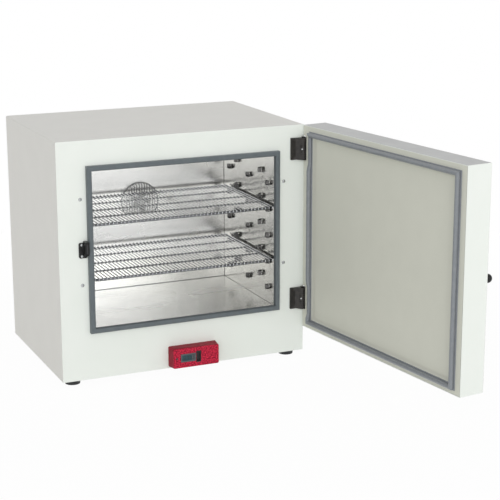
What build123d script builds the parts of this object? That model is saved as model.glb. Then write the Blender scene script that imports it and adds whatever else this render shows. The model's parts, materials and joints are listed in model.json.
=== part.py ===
from build123d import *
from math import atan2, cos, degrees, floor, radians, sin, sqrt, tan
import os

os.makedirs("parts", exist_ok=True)

# A bench-top laboratory oven with a stainless chamber, two wire shelves and a side-hung door.
# Millimetres. X runs to the right, Y into the depth and Z up, all seen from the front.
# The casing is drawn with its front face at Y = 0, its left side at X = 0 and its underside
# at Z = 0, with the door shut. The last section opens the door and sets the origin.

# Chamber and casing
chamber_width = 437.0
chamber_height = 355.0
chamber_depth = 297.0
side_wall = 71.5          # from the chamber to the outside of the casing, left and right
top_wall = 62.5
bay_height = 113.5        # chamber floor above the casing's underside
rear_space = 103.0        # insulation, fan motor and air behind the chamber
case_sheet = 1.2
case_bend = 3.0
frame_sheet = 1.5
liner_sheet = 1.0
liner_bend = 3.0
flange_width = 14.0
seam = 0.1                # gap between sheets that nest
seat_gap = 0.3            # gap between loose pieces and what they lie on

# Mouth of the chamber
liner_lead = 8.0          # the liner stands this far out of the front frame
mouth_gap = 1.0
trim_face = 11.0
trim_lip = 3.5
trim_proud = 12.0
trim_round = 3.0

# Shelf lugs, pressed into the liner's sides
lug_width = 11.0
lug_height = 13.0
lug_depth = 8.5
lug_taper = 12.0
lug_pitch = 61.2
first_lug = 38.0          # lowest support lug above the chamber floor
holder_rise = 24.8        # from a support lug to the anti-tilt lug above it
lug_front = 34.0
lug_rear = 43.0           # rearmost lugs ahead of the rear wall
holder_spread = 68.0      # anti-tilt lugs ahead of and behind the middle support lug

# Shelves
shelf_levels = {"lower_shelf": 1, "upper_shelf": 3}
shelf_side_gap = 1.0      # to the chamber trim, each side
shelf_front = 2.0
shelf_rear_space = 25.0
rail_radius = 3.0
rail_bend = 9.0
cross_radius = 2.0
wire_radius = 1.25
wire_pitch = 8.75
cross_wires = 3
weld_gap = 0.05

# Fan, guard, probe and heater
fan_height = 207.0        # fan axis above the chamber floor
guard_radius = 46.0
guard_sill = 26.5         # the guard's straight lower edge below the fan axis
guard_ring_radius = 1.5
guard_bar_radius = 1.0
guard_bar_pitch = 6.4
guard_standoff = 14.0
guard_bar_bend = 4.0
fan_radius = 24.0
fan_blades = 5
blade_chord = 12.0
blade_pitch = 35.0
hub_radius = 7.0
shaft_radius = 2.5
running_gap = 0.05
motor_size = 60.0
probe_radius = 2.0
probe_offset = 75.0
heater_radius = 3.25
heater_bend = 24.0

# Door
door_gap = 11.0           # between the front frame and the shut door
door_thickness = 61.0
door_side_inset = 2.5
door_top_inset = 0.4
door_bottom = 59.6
door_sheet = 1.2
dish_depth = 7.0
dish_slope = 4.0
gasket_width = 13.5
gasket_clear = 0.3        # left between the gasket and the front frame
gasket_margins = {"hinge": 24.0, "free": 16.5, "top": 12.0, "bottom": 9.5}
door_opening = 97.15      # degrees, as the door stands at rest

# Hinges
axis_inset = 6.0          # hinge axis from the casing's right side
barrel_radius = 8.0
pin_radius = 2.5
hinge_length = 50.0
knuckle_gap = 0.3
knuckle_relief = 0.4
hinge_heights = {"lower": 128.0, "upper": 477.0}
frame_leaf_reach = 34.5
frame_leaf_sheet = 4.0
frame_leaf_ramp = 14.0    # how far from the axis the leaf starts to rise to its knuckles
door_leaf_sheet = 3.0
door_leaf_width = 37.0
leaf_screw_depth = 22.0
grub_radius = 2.0
grub_angle = 125.85       # the side of the shut door's knuckle that the grub screw enters from

# Catch, knob, controller and feet
catch_height = 293.0
catch_left = 44.0
catch_width = 19.0
catch_length = 34.0
catch_block_width = 9.0
catch_block_raise = 5.5   # the block's middle above the flange's
knob_radius = 9.5
knob_length = 38.0
knob_inset = 35.0
knob_height = 286.0
controller_left = 245.0
controller_bottom = 3.6
controller_width = 115.0
controller_height = 47.5
controller_depth = 25.0
controller_draft = 2.9
controller_wall = 2.0
foot_radius = 18.0
foot_height = 13.0
foot_inset = 30.0
screw_radius = 2.0
screw_head_radius = 4.0
screw_head_height = 2.4
screw_length = 8.5
small_screw_radius = 1.6
hole_gap = 0.1

case_width = chamber_width + 2 * side_wall
case_height = bay_height + chamber_height + top_wall
case_depth = chamber_depth + rear_space
chamber_left = side_wall
chamber_right = case_width - side_wall
chamber_top = bay_height + chamber_height
middle = case_width / 2
deck_height = bay_height - 50.0
axis_x = case_width - axis_inset
axis_y = -barrel_radius - seat_gap


# ---- Shared shapes ----

def grown(span, by):
    """A span of low and high values, made longer at both ends."""
    return (span[0] - by, span[1] + by)


def block(x, y, z):
    """A box between a low and a high value along X, Y and Z."""
    centre = Pos(sum(x) / 2, sum(y) / 2, sum(z) / 2)
    return centre * Box(x[1] - x[0], y[1] - y[0], z[1] - z[0])


def oblong(u, v):
    """A rectangle between a low and a high value along both directions of its plane."""
    return Pos(sum(u) / 2, sum(v) / 2) * Rectangle(u[1] - u[0], v[1] - v[0])


def front_view(y, outline):
    """An outline drawn in X and Z, set at a depth."""
    return Pos(0, y, 0) * (Plane.XZ * outline)


def sheet_y(outline, y):
    """An outline in X and Z, given a thickness between two depths."""
    return extrude(front_view(y[0], outline), amount=y[0] - y[1])


def rod(radius, start, end):
    """A round bar between two points."""
    start, end = Vector(*start), Vector(*end)
    run = end - start
    upright = (Align.CENTER, Align.CENTER, Align.MIN)
    return Plane(origin=start, z_dir=run) * Cylinder(radius, run.length, align=upright)


def bent_rod(radius, corners, bend, closed=False):
    """A round bar through corner points, with an elbow at each corner."""
    points = [Vector(*corner) for corner in corners]
    count = len(points)
    ends = {} if closed else {0: (points[0], points[0]), count - 1: (points[-1], points[-1])}
    elbows = []
    for i in range(count):
        if i in ends:
            continue
        come = (points[i] - points[i - 1]).normalized()
        leave = (points[(i + 1) % count] - points[i]).normalized()
        turn = come.get_angle(leave)
        reach = bend * tan(radians(turn / 2))
        ends[i] = (points[i] - come * reach, points[i] + leave * reach)
        inward = (leave - come * cos(radians(turn))).normalized()
        seat = Plane(origin=ends[i][0] + inward * bend, x_dir=-inward, z_dir=inward.cross(-come))
        elbows.append(seat * Torus(bend, radius, major_angle=turn, align=None))
    runs = [(ends[i][1], ends[(i + 1) % count][0]) for i in range(count if closed else count - 1)]
    pieces = [rod(radius, start, end) for start, end in runs] + elbows
    return pieces[0] + pieces[1:]


def screw(seat, out, length=screw_length, radius=screw_radius, head=screw_head_radius,
          tall=screw_head_height):
    """A pan-head screw. seat is where its head bears, and out is the way the head points."""
    seat, out = Vector(*seat), Vector(*out)
    cap = rod(head, seat, seat + out * tall)
    cap = chamfer(cap.edges().sort_by(Axis(seat, out))[-1], tall * 0.45)
    return cap + rod(radius, seat - out * length, seat)


def small_screw(seat, out):
    """The smaller pan-head screw that holds the catch and the mains inlet."""
    return screw(seat, out, 9.0, small_screw_radius, 3.2, 2.0)


def countersunk(seat, out, length, radius=1.75, head=3.6):
    """A countersunk screw, flush with the face at seat."""
    seat, out = Vector(*seat), Vector(*out)
    depth = head - radius
    cone = Cone(radius, head, depth, align=(Align.CENTER, Align.CENTER, Align.MAX))
    return Plane(origin=seat, z_dir=out) * cone + rod(radius, seat - out * length, seat - out * depth)


def group(pieces):
    """Like pieces that share a name, kept as separate solids."""
    return Compound(children=list(pieces))


casing = {}
door = {}

# ---- Casing: wrap, front frame, base pan, deck and rear panel ----

inner = case_sheet + seam
frame_screw_places = [
    (x, z)
    for x in (chamber_left - 21.0, chamber_right + 21.0)
    for z in (bay_height + 101.5, bay_height + 291.0)
]
rear_screw_x = case_sheet + flange_width / 2
rear_screw_places = [(x, z) for x in (rear_screw_x, case_width - rear_screw_x)
                     for z in (60.0, case_height / 2, case_height - 61.0)]
rear_screw_places += [(middle + side * 140.0, z) for side in (-1, 1)
                      for z in (flange_width / 2 + 1.0, case_height - rear_screw_x)]
inlet_x = middle - 190.0
inlet_z = 34.0
inlet_screw_spread = 20.0
catch_screw_x = catch_left + 6.5
catch_screw_spread = 12.5
controller_middle = controller_left + controller_width / 2
controller_screws_x = grown((controller_left, controller_left + controller_width), -9.0)
controller_screw_z = controller_bottom + 9.0
controller_z = controller_bottom + controller_height / 2
hinge_screw_x = axis_x - 21.0
hinge_screw_spread = 14.0
foot_places = {
    "front_left": (foot_inset, foot_inset),
    "front_right": (case_width - foot_inset, foot_inset),
    "rear_left": (foot_inset, case_depth - foot_inset),
    "rear_right": (case_width - foot_inset, case_depth - foot_inset),
}
vent_x = (chamber_left + 16.0, chamber_left + 66.0)
vent_z = (chamber_top - 34.0, chamber_top - 20.0)
fan_z = bay_height + fan_height
rear_wall = chamber_depth
drill = screw_radius + hole_gap
small_drill = small_screw_radius + hole_gap


def rounded_top(x, z, radius):
    """An upright oblong with its two upper corners rounded."""
    shape = oblong(x, z)
    return fillet(shape.vertices().group_by(Axis.Y)[-1], radius)


def case_wrap():
    """Left side, top and right side folded from one sheet, with returns behind for the rear panel."""
    t = case_sheet
    hollow = rounded_top((t, case_width - t), (-1.0, case_height - t), case_bend - t)
    wrap = sheet_y(rounded_top((0, case_width), (0, case_height), case_bend) - hollow,
                   (frame_sheet, case_depth - t))
    window = oblong((t + flange_width, case_width - t - flange_width),
                    (-1.0, case_height - t - flange_width))
    returns = sheet_y(oblong((t, case_width - t), (0, case_height - t)) - window,
                      (case_depth - 2 * t, case_depth - t))
    wrap += returns
    for x, z in rear_screw_places:
        wrap -= rod(drill, (x, case_depth - 3 * t, z), (x, case_depth, z))
    corners = grown((0, case_width), -t)
    return wrap - block(corners, (case_depth - 2 * t - seam, case_depth - t), (-1.0, t + seam))


def catch_holes():
    """The holes for the catch's two screws, through all that they pass."""
    heights = [catch_height + s * catch_screw_spread for s in (-1, 1)]
    return [rod(small_drill, (catch_screw_x, -4, z), (catch_screw_x, flange_width, z)) for z in heights]


def front_frame():
    """The painted front: a flat face round the chamber's mouth, with its outer edges folded back."""
    mouth = mouth_gap + liner_sheet
    face = rounded_top((0, case_width), (0, case_height), case_bend)
    face -= oblong((chamber_left - mouth, chamber_right + mouth),
                   (bay_height - mouth, chamber_top + mouth))
    frame = sheet_y(face, (0, frame_sheet))
    x, z = (inner, case_width - inner), (inner, case_height - inner)
    edge = rounded_top(x, z, case_bend - case_sheet) - oblong(grown(x, -frame_sheet), grown(z, -frame_sheet))
    frame += sheet_y(edge, (frame_sheet, frame_sheet + flange_width))
    holes = list(frame_screw_places)
    holes += [(x, controller_screw_z) for x in controller_screws_x]
    holes += [(hinge_screw_x, z + s * hinge_screw_spread)
              for z in hinge_heights.values() for s in (-1, 1)]
    for x, z in holes:
        frame -= rod(drill, (x, -1, z), (x, frame_sheet + 1, z))
    frame -= catch_holes()
    wires = (controller_middle - 25.0, controller_middle + 25.0)
    frame -= block(wires, (-1, frame_sheet + 1), (controller_z - 9.0, controller_z + 9.0))
    return frame


def base_pan():
    """The underside, with edges turned up inside the wrap and behind the front frame."""
    t = case_sheet
    width = (inner, case_width - inner)
    depth = (frame_sheet + seam, case_depth - t - seam)
    pan = block(width, depth, (0, t))
    behind_frame = frame_sheet + flange_width + 1.5
    for x in ((width[0], width[0] + t), (width[1] - t, width[1])):
        pan += block(x, (behind_frame, case_depth - 3 * t - flange_width), (t, flange_width))
    inside = (inner + flange_width + 1.0, case_width - inner - flange_width - 1.0)
    pan += block(inside, (depth[1] - t, depth[1]), (t, flange_width + 2.0))
    for x, z in rear_screw_places:
        if z < flange_width:
            pan -= rod(drill, (x, depth[1] - 2 * t, z), (x, case_depth, z))
    for x, y in foot_places.values():
        pan -= rod(drill, (x, y, -1), (x, y, t + 1))
    return pan


def bay_deck():
    """The shelf inside the casing that parts the electrics below from the insulation above."""
    t = case_sheet
    depth = (frame_sheet + flange_width + 1.0, case_depth - 2 * t - seam)
    deck = block((inner, case_width - inner), depth, (deck_height - t, deck_height))
    for x in ((inner, inner + t), (case_width - inner - t, case_width - inner)):
        deck += block(x, depth, (deck_height - flange_width, deck_height - t))
    return deck


def rear_panel():
    """The flat back, with slots behind the fan motor and at the vent, and the inlet's cut-out."""
    t = case_sheet
    y = (case_depth - t, case_depth)
    panel = sheet_y(rounded_top((0, case_width), (0, case_height), case_bend), y)
    cut = (case_depth - t - 1, case_depth + 1)
    slots = [block((middle + side * 40.0 - 28.0, middle + side * 40.0 + 28.0), cut,
                   (fan_z - 44.0 + 12.0 * i, fan_z - 40.0 + 12.0 * i))
             for side in (-1, 1) for i in range(8)]
    vent_slots = 5
    step = (vent_x[1] - vent_x[0]) / vent_slots
    slots += [block((vent_x[0] + step * (i + 0.3), vent_x[0] + step * (i + 0.7)), cut,
                    (vent_z[0] + 2.0, vent_z[1] - 2.0)) for i in range(vent_slots)]
    slots.append(block((inlet_x - 14.0, inlet_x + 14.0), cut, (inlet_z - 10.5, inlet_z + 10.5)))
    slots += [rod(small_drill, (inlet_x + s * inlet_screw_spread, cut[0], inlet_z),
                  (inlet_x + s * inlet_screw_spread, cut[1], inlet_z)) for s in (-1, 1)]
    slots += [rod(drill, (x, cut[0], z), (x, cut[1], z)) for x, z in rear_screw_places]
    return panel - slots


casing["case_wrap"] = case_wrap()
casing["front_frame"] = front_frame()
casing["base_pan"] = base_pan()
casing["bay_deck"] = bay_deck()
casing["rear_panel"] = rear_panel()
case_screws = [screw((x, case_depth, z), (0, 1, 0)) for x, z in rear_screw_places]
case_screws += [screw((x, 0, z), (0, -1, 0)) for x, z in frame_screw_places]

# ---- Feet ----

recess_depth = 6.0
for place, (x, y) in foot_places.items():
    foot = Pos(x, y, -foot_height) * Cone(
        foot_radius - 1.5, foot_radius, foot_height, align=(Align.CENTER, Align.CENTER, Align.MIN))
    foot -= rod(6.0, (x, y, -foot_height - 1), (x, y, recess_depth - foot_height))
    foot -= rod(drill, (x, y, -foot_height), (x, y, 1))
    casing[f"foot_{place}"] = foot
case_screws += [screw((x, y, recess_depth - foot_height), (0, 0, -1))
                for x, y in foot_places.values()]

# ---- Chamber liner: a folded wrap and two sides with pressed shelf lugs ----

lug_step = lug_height / 2
lug_rows = 1 + floor((chamber_height - first_lug - holder_rise - lug_height) / lug_pitch)
lug_middle = (lug_front + chamber_depth - lug_rear) / 2
support_columns = [lug_front, lug_middle, chamber_depth - lug_rear]
holder_columns = [lug_middle - holder_spread, lug_middle + holder_spread]


def lug(y, z, wall, upside_down):
    """A half-round lug with a flat upper edge; wall grows or shrinks it to its two skins."""
    overrun = 2.0
    radius = lug_width / 2 - wall
    arch = Pos(0, radius + wall - lug_step) * Circle(radius)
    sides = oblong((-radius, radius), (radius + wall - lug_step, lug_step + overrun))
    profile = Rot(0, 0, 180 if upside_down else 0) * (arch + sides)
    start = chamber_left - (liner_sheet + 1.0 if wall else liner_sheet / 2)
    placed = Pos(start, y, z) * (Plane.YZ * profile)
    solid = extrude(placed, amount=chamber_left + lug_depth - wall - start, taper=lug_taper)
    flat = lug_step - wall
    edge = (flat, flat + 2 * overrun) if not upside_down else (-flat - 2 * overrun, -flat)
    trim = block((start - 1, chamber_left + lug_depth + 1), (y - lug_width, y + lug_width),
                 (z + edge[0], z + edge[1]))
    return solid - trim


def liner_side():
    """The left side of the chamber: a plate, its lugs and the flange that screws to the frame."""
    side = block((chamber_left - liner_sheet, chamber_left),
                 (-liner_lead, rear_wall + liner_sheet),
                 (bay_height - liner_sheet, chamber_top + liner_sheet))
    reach = chamber_left - frame_screw_places[0][0] + 8.0
    flange = (frame_sheet, frame_sheet + case_sheet)
    side += block((chamber_left - reach, chamber_left - liner_sheet), flange,
                  (bay_height + 20.0, chamber_top - 20.0))
    places = [(y, first_lug + i * lug_pitch, False)
              for y in support_columns for i in range(lug_rows)]
    places += [(y, first_lug + holder_rise + i * lug_pitch, True)
               for y in holder_columns for i in range(lug_rows)]
    side += [lug(y, bay_height + z, 0.0, down) for y, z, down in places]
    side -= [lug(y, bay_height + z, liner_sheet, down) for y, z, down in places]
    for x, z in frame_screw_places[:2]:
        side -= rod(drill, (x, 0, z), (x, flange[1] + 1, z))
    return side


def liner_wrap():
    """The chamber's floor, rear wall and roof, folded from one stainless sheet."""
    t = liner_sheet
    outer = oblong((-liner_lead, rear_wall + t), (bay_height - t, chamber_top + t))
    outer = fillet(outer.vertices().group_by(Axis.X)[-1], liner_bend)
    hollow = oblong((-liner_lead - 1, rear_wall), (bay_height, chamber_top))
    hollow = fillet(hollow.vertices().group_by(Axis.X)[-1], liner_bend - t)
    section = Pos(chamber_left, 0, 0) * (Plane.YZ * (outer - hollow))
    wrap = extrude(section, amount=chamber_width)
    through = (rear_wall - 1, rear_wall + t + 1)
    wrap -= rod(4.5, (middle, through[0], fan_z), (middle, through[1], fan_z))
    probe = (middle + probe_offset, fan_z)
    wrap -= rod(probe_radius + hole_gap, (probe[0], through[0], probe[1]),
                (probe[0], through[1], probe[1]))
    return wrap - block(vent_x, through, vent_z)


side = liner_side()
casing["liner_side_left"] = side - catch_holes()
casing["liner_side_right"] = mirror(side, about=Plane(origin=(middle, 0, 0), z_dir=(1, 0, 0)))
casing["liner_wrap"] = liner_wrap()


def chamber_trim():
    """The grey silicone edging pushed over the liner's front edge."""
    reach = trim_face - trim_lip
    body = sheet_y(oblong((chamber_left - reach, chamber_right + reach),
                          (bay_height - reach, chamber_top + reach))
                   - oblong((chamber_left + trim_lip, chamber_right - trim_lip),
                            (bay_height + trim_lip, chamber_top - trim_lip)),
                   (-trim_proud, 0))
    body = fillet(body.edges().group_by(Axis.Y)[0], trim_round)
    t = liner_sheet + seam
    slot = oblong((chamber_left - t, chamber_right + t), (bay_height - t, chamber_top + t))
    slot -= oblong((chamber_left + seam, chamber_right - seam),
                   (bay_height + seam, chamber_top - seam))
    return body - sheet_y(slot, (-liner_lead - seam, 1))


casing["chamber_trim"] = chamber_trim()

# ---- Insulation round the chamber ----

blanket_front = frame_sheet + flange_width + 1.0
blanket_rear = rear_wall + liner_sheet + 47.0
beside = (chamber_left - liner_sheet - seat_gap, chamber_right + liner_sheet + seat_gap)
under_roof = case_height - frame_sheet - inner - seat_gap
below_floor = bay_height - 15.5
left_blanket = block((inner + seat_gap, beside[0]), (blanket_front, blanket_rear),
                     (deck_height + seat_gap, under_roof))
casing["insulation_left"] = left_blanket
casing["insulation_right"] = mirror(
    left_blanket, about=Plane(origin=(middle, 0, 0), z_dir=(1, 0, 0)))
between = (beside[0] + seat_gap, beside[1] - seat_gap)
casing["insulation_top"] = block(between, (blanket_front, rear_wall),
                                 (chamber_top + liner_sheet + seat_gap, under_roof))
casing["insulation_bottom"] = block(between, (blanket_front, blanket_rear),
                                    (deck_height + seat_gap, below_floor))
rear_blanket = block(between, (rear_wall + liner_sheet + seat_gap, blanket_rear),
                     (bay_height, under_roof))
rear_blanket -= rod(7.0, (middle, rear_wall, fan_z), (middle, blanket_rear + 1, fan_z))
rear_blanket -= rod(4.0, (middle + probe_offset, rear_wall, fan_z),
                    (middle + probe_offset, blanket_rear + 1, fan_z))
duct_wall = 0.8
rear_blanket -= block((vent_x[0] - 1, vent_x[1] + 1), (rear_wall, blanket_rear + 1),
                      (vent_z[0] - 1, vent_z[1] + 1))
casing["insulation_rear"] = rear_blanket


def vent_duct():
    """A flat stainless duct from the chamber's rear wall to the slots in the rear panel."""
    y = (rear_wall + seam, case_depth - case_sheet - seam)
    x = (vent_x[0] + seam, vent_x[1] - seam)
    z = (vent_z[0] + seam, vent_z[1] - seam)
    w = duct_wall
    return block(x, y, z) - block((x[0] + w, x[1] - w), (y[0] - 1, y[1] + 1), (z[0] + w, z[1] - w))


casing["vent_duct"] = vent_duct()

# ---- Heater under the chamber floor ----

rail_sheet = 1.5
heater_z = below_floor + seat_gap + rail_sheet + seat_gap + heater_radius
heater_rear = rear_wall + 38.0
heater_front = 50.0
heater_turn = chamber_depth - 30.0
outer_run = chamber_width / 2 - 78.0
inner_run = 42.0


def heater_element():
    """One tube bent into a W, with both ends at the back in thicker sleeves."""
    corners = [(-outer_run, heater_rear), (-outer_run, heater_front), (-inner_run, heater_front),
               (-inner_run, heater_turn), (inner_run, heater_turn), (inner_run, heater_front),
               (outer_run, heater_front), (outer_run, heater_rear)]
    tube = bent_rod(heater_radius, [(middle + x, y, heater_z) for x, y in corners], heater_bend)
    for x in (middle - outer_run, middle + outer_run):
        tube += rod(5.0, (x, heater_rear - 2.0, heater_z), (x, heater_rear + 10.0, heater_z))
    return tube


casing["heater_element"] = heater_element()
casing["heater_rails"] = group(
    block((chamber_left + 12.0, chamber_right - 12.0), (y - 8.0, y + 8.0),
          (below_floor + seat_gap, below_floor + seat_gap + rail_sheet))
    for y in (heater_front + 40.0, heater_turn - 40.0))

# ---- Fan: guard, impeller on its shaft, motor and the motor's bracket ----

ring_y = rear_wall - guard_ring_radius - seam
bar_y = ring_y - guard_ring_radius - weld_gap
bracket_y = blanket_rear + 6.0
motor_end = bracket_y + frame_sheet + 24.0


def guard_bar(x):
    """An upright wire of the guard, with both ends turned back to the frame wire."""
    top = sqrt(guard_radius ** 2 - x ** 2)
    bottom = -min(top, guard_sill)
    front = bar_y - guard_standoff
    corners = [(middle + x, y, fan_z + z)
               for y, z in ((bar_y, top), (front, top), (front, bottom), (bar_y, bottom))]
    return bent_rod(guard_bar_radius, corners, guard_bar_bend)


def guard_frame():
    """The guard's wire outline on the rear wall: an arch over a straight sill."""
    half = sqrt(guard_radius ** 2 - guard_sill ** 2)
    dip = degrees(atan2(guard_sill + guard_ring_radius, half))
    arch = Torus(guard_radius, guard_ring_radius, major_angle=180 + 2 * dip, align=None)
    frame = Pos(middle, ring_y, fan_z) * Rot(90, 0, 0) * Rot(0, 0, -dip) * arch
    return frame + rod(guard_ring_radius, *[(middle + side * half, ring_y, fan_z - guard_sill)
                                            for side in (-1, 1)])


def fan_guard():
    """A wire basket in front of the fan: its outline and the upright bars across it."""
    count = floor((guard_radius - guard_bar_pitch / 2) / guard_bar_pitch) * 2 + 1
    offsets = [(i - (count - 1) / 2) * guard_bar_pitch for i in range(count)]
    return group([guard_frame()] + [guard_bar(x) for x in offsets])


def fan_impeller():
    """A stirring fan: pitched blades on a hub, and the shaft back to the motor."""
    fan_y = rear_wall - 6.6
    hub = rod(hub_radius, (middle, fan_y - 4.5, fan_z), (middle, fan_y + 4.5, fan_z))
    length = fan_radius - hub_radius + 2.0
    for i in range(fan_blades):
        blade = Pos(hub_radius - 2.0 + length / 2, 0, 0) * Rot(blade_pitch, 0, 0) * Box(
            length, 1.0, blade_chord)
        hub += Pos(middle, fan_y, fan_z) * Rot(0, 360 / fan_blades * i, 0) * blade
    return hub + rod(shaft_radius, (middle, fan_y, fan_z), (middle, motor_end - 6.0, fan_z))


def fan_motor():
    """A shaded-pole motor: a laminated core with a round bearing cap at each end."""
    y = bracket_y + frame_sheet
    half = motor_size / 2
    core = block((middle - half, middle + half), (y, y + 14.0), (fan_z - half, fan_z + half * 0.75))
    core = fillet(core.edges().filter_by(Axis.Y), 4.0)
    motor = core + rod(17.0, (middle, y + 14.0, fan_z), (middle, motor_end, fan_z))
    bore = shaft_radius + running_gap
    return motor - rod(bore, (middle, y - 1, fan_z), (middle, motor_end - 5.0, fan_z))


def motor_bracket():
    """An upright plate with its foot turned back on the deck."""
    x = (middle - motor_size / 2, middle + motor_size / 2)
    y = (bracket_y, bracket_y + frame_sheet)
    base = deck_height + seam
    plate = block(x, y, (base, fan_z + motor_size / 2))
    foot = block(x, (y[0], y[1] + 20.0), (base, base + frame_sheet))
    return plate + foot - rod(6.0, (middle, y[0] - 1, fan_z), (middle, y[1] + 1, fan_z))


casing["fan_guard"] = fan_guard()
casing["fan_impeller"] = fan_impeller()
casing["fan_motor"] = fan_motor()
casing["motor_bracket"] = motor_bracket()
probe_x = middle + probe_offset
probe = rod(probe_radius, (probe_x, rear_wall - 32.0, fan_z), (probe_x, blanket_rear, fan_z))
probe += rod(3.5, (probe_x, rear_wall - 3.1, fan_z), (probe_x, rear_wall - 0.1, fan_z))
casing["temperature_probe"] = probe

# ---- Wire shelves ----

shelf_x = (chamber_left + trim_lip + shelf_side_gap + rail_radius,
           chamber_right - trim_lip - shelf_side_gap - rail_radius)
shelf_y = (shelf_front, rear_wall - shelf_rear_space)


def shelf(level):
    """A round-wire frame with cross wires, and close wires from front to back on top."""
    rail_z = bay_height + first_lug + level * lug_pitch + lug_step + seat_gap + rail_radius
    corners = [(shelf_x[0], shelf_y[0], rail_z), (shelf_x[1], shelf_y[0], rail_z),
               (shelf_x[1], shelf_y[1], rail_z), (shelf_x[0], shelf_y[1], rail_z)]
    wires = [bent_rod(rail_radius, corners, rail_bend, closed=True)]
    spacing = (shelf_y[1] - shelf_y[0]) / (cross_wires + 1)
    cross_z = rail_z + rail_radius - cross_radius
    ends = (shelf_x[0] + rail_radius + weld_gap, shelf_x[1] - rail_radius - weld_gap)
    for i in range(1, cross_wires + 1):
        y = shelf_y[0] + i * spacing
        wires.append(rod(cross_radius, (ends[0], y, cross_z), (ends[1], y, cross_z)))
    top_z = rail_z + rail_radius + wire_radius + weld_gap
    count = round((shelf_x[1] - shelf_x[0]) / wire_pitch)
    step = (shelf_x[1] - shelf_x[0]) / count
    for i in range(count + 1):
        x = shelf_x[0] + i * step
        wires.append(rod(wire_radius, (x, shelf_y[0] - 1.5, top_z), (x, shelf_y[1] + 1.5, top_z)))
    return group(wires)


for name, level in shelf_levels.items():
    casing[name] = shelf(level)

# ---- Door: outer skin, dished inner panel, insulation and gasket ----

door_x = (door_side_inset, case_width - door_side_inset)
door_z = (door_bottom, case_height - door_top_inset)
door_back = -door_gap
door_face = -door_gap - door_thickness
gasket_x = (door_x[0] + gasket_margins["free"], door_x[1] - gasket_margins["hinge"])
gasket_z = (door_z[0] + gasket_margins["bottom"], door_z[1] - gasket_margins["top"])
gasket_proud = door_gap - gasket_clear
knob_x = door_x[0] + knob_inset


def hinge_notches():
    """Round notches that let the hinge barrels into the door's corner."""
    half = hinge_length / 2
    return [rod(barrel_radius + 1.0, (axis_x, axis_y, z - half - 1.5), (axis_x, axis_y, z + half + 4.5))
            for z in hinge_heights.values()]


def leaf_screw_places():
    """Where the door leaves are screwed to the door's edge."""
    return [(door_back - leaf_screw_depth, z + s * hinge_screw_spread)
            for z in hinge_heights.values() for s in (-1, 1)]


def door_outer_skin():
    """A painted steel tray: the door's face and its four edges."""
    tray = block(door_x, (door_face, door_back), door_z)
    tray = fillet(tray.edges().group_by(Axis.Y)[0], 2.5)
    tray -= block(grown(door_x, -door_sheet), (door_face + door_sheet, door_back + 1),
                  grown(door_z, -door_sheet))
    tray -= hinge_notches()
    tray -= rod(drill, (knob_x, door_face - 1, knob_height), (knob_x, door_face + 3, knob_height))
    tray -= [rod(1.85, (door_x[1] - 3, y, z), (door_x[1] + 1, y, z)) for y, z in leaf_screw_places()]
    return tray


def dish(by, depth):
    """The dish's hollow: a shallow pyramid between the gasket's four runs."""
    mouth = oblong(grown(gasket_x, by - gasket_width - 1.5), grown(gasket_z, by - gasket_width - 1.5))
    inset = by - gasket_width - 1.5 - dish_slope
    floor_shape = oblong(grown(gasket_x, inset), grown(gasket_z, inset))
    return loft([front_view(door_back, mouth), front_view(door_back - depth, floor_shape)])


def door_inner_panel():
    """The pressed inner panel: a flat margin for the gasket round a shallow dish."""
    fit = -door_sheet - seam
    panel = block(grown(door_x, fit), (door_back - door_sheet, door_back), grown(door_z, fit))
    panel += dish(door_sheet, dish_depth + door_sheet)
    panel -= dish(0.0, dish_depth)
    return panel - hinge_notches()


def door_insulation():
    """A slab of mineral wool, with a pocket for the knob's screw."""
    side_space = 12.0
    slab = block(grown(door_x, -side_space), (door_face + door_sheet + seat_gap,
                 door_back - dish_depth - door_sheet - seat_gap), grown(door_z, -door_sheet - seat_gap))
    return slab - rod(6.0, (knob_x, door_face, knob_height), (knob_x, door_face + 8.0, knob_height))


def gasket_run(length, low):
    """A straight run of gasket along +X from the origin, its outer side at Z = 0, proud to +Y."""
    base = oblong((0.0, gasket_width), (0.0, 2.0))
    bulb_radius = (gasket_proud - 1.0) / 2
    bulb = Pos(gasket_width / 2, gasket_proud - bulb_radius) * Circle(bulb_radius)
    profile = base + bulb
    placed = Plane(origin=(length, 0, 0), x_dir=(0, 0, 1), z_dir=(-1, 0, 0)) * profile
    run = extrude(placed, amount=length)
    w = gasket_width
    corner = Polyline((0, 0), (w + 1, w + 1), (length - w - 1, w + 1), (length, 0), close=True)
    wedge = extrude(front_view(-gasket_proud - 1, make_face(corner)), amount=-2 * gasket_proud - 2)
    run = run & wedge
    for start, end in low:
        run -= block((start, end), (door_gap - frame_leaf_sheet - gasket_clear, 2 * gasket_proud),
                     (-1, w + 1))
    return run


def door_gasket():
    """Four mitred runs of silicone bulb gasket, dipped where they cross the hinge leaves."""
    width = gasket_x[1] - gasket_x[0]
    height = gasket_z[1] - gasket_z[0]
    half = hinge_length / 2 + 3.0
    dips = [(gasket_z[1] - z - half, gasket_z[1] - z + half) for z in hinge_heights.values()]
    bottom = Pos(gasket_x[0], 0, gasket_z[0]) * gasket_run(width, [])
    top = mirror(Pos(gasket_x[0], 0, -gasket_z[1]) * gasket_run(width, []), about=Plane.XY)
    hinge_side = Pos(gasket_x[1], 0, gasket_z[1]) * Rot(0, 90, 0) * mirror(
        gasket_run(height, dips), about=Plane.XY)
    free_side = Pos(gasket_x[0], 0, gasket_z[1]) * Rot(0, 90, 0) * gasket_run(height, [])
    return group([Pos(0, door_back, 0) * run for run in (bottom, top, hinge_side, free_side)])


door["door_outer_skin"] = door_outer_skin()
door["door_inner_panel"] = door_inner_panel()
door["door_insulation"] = door_insulation()
door["door_gasket"] = door_gasket()


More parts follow.
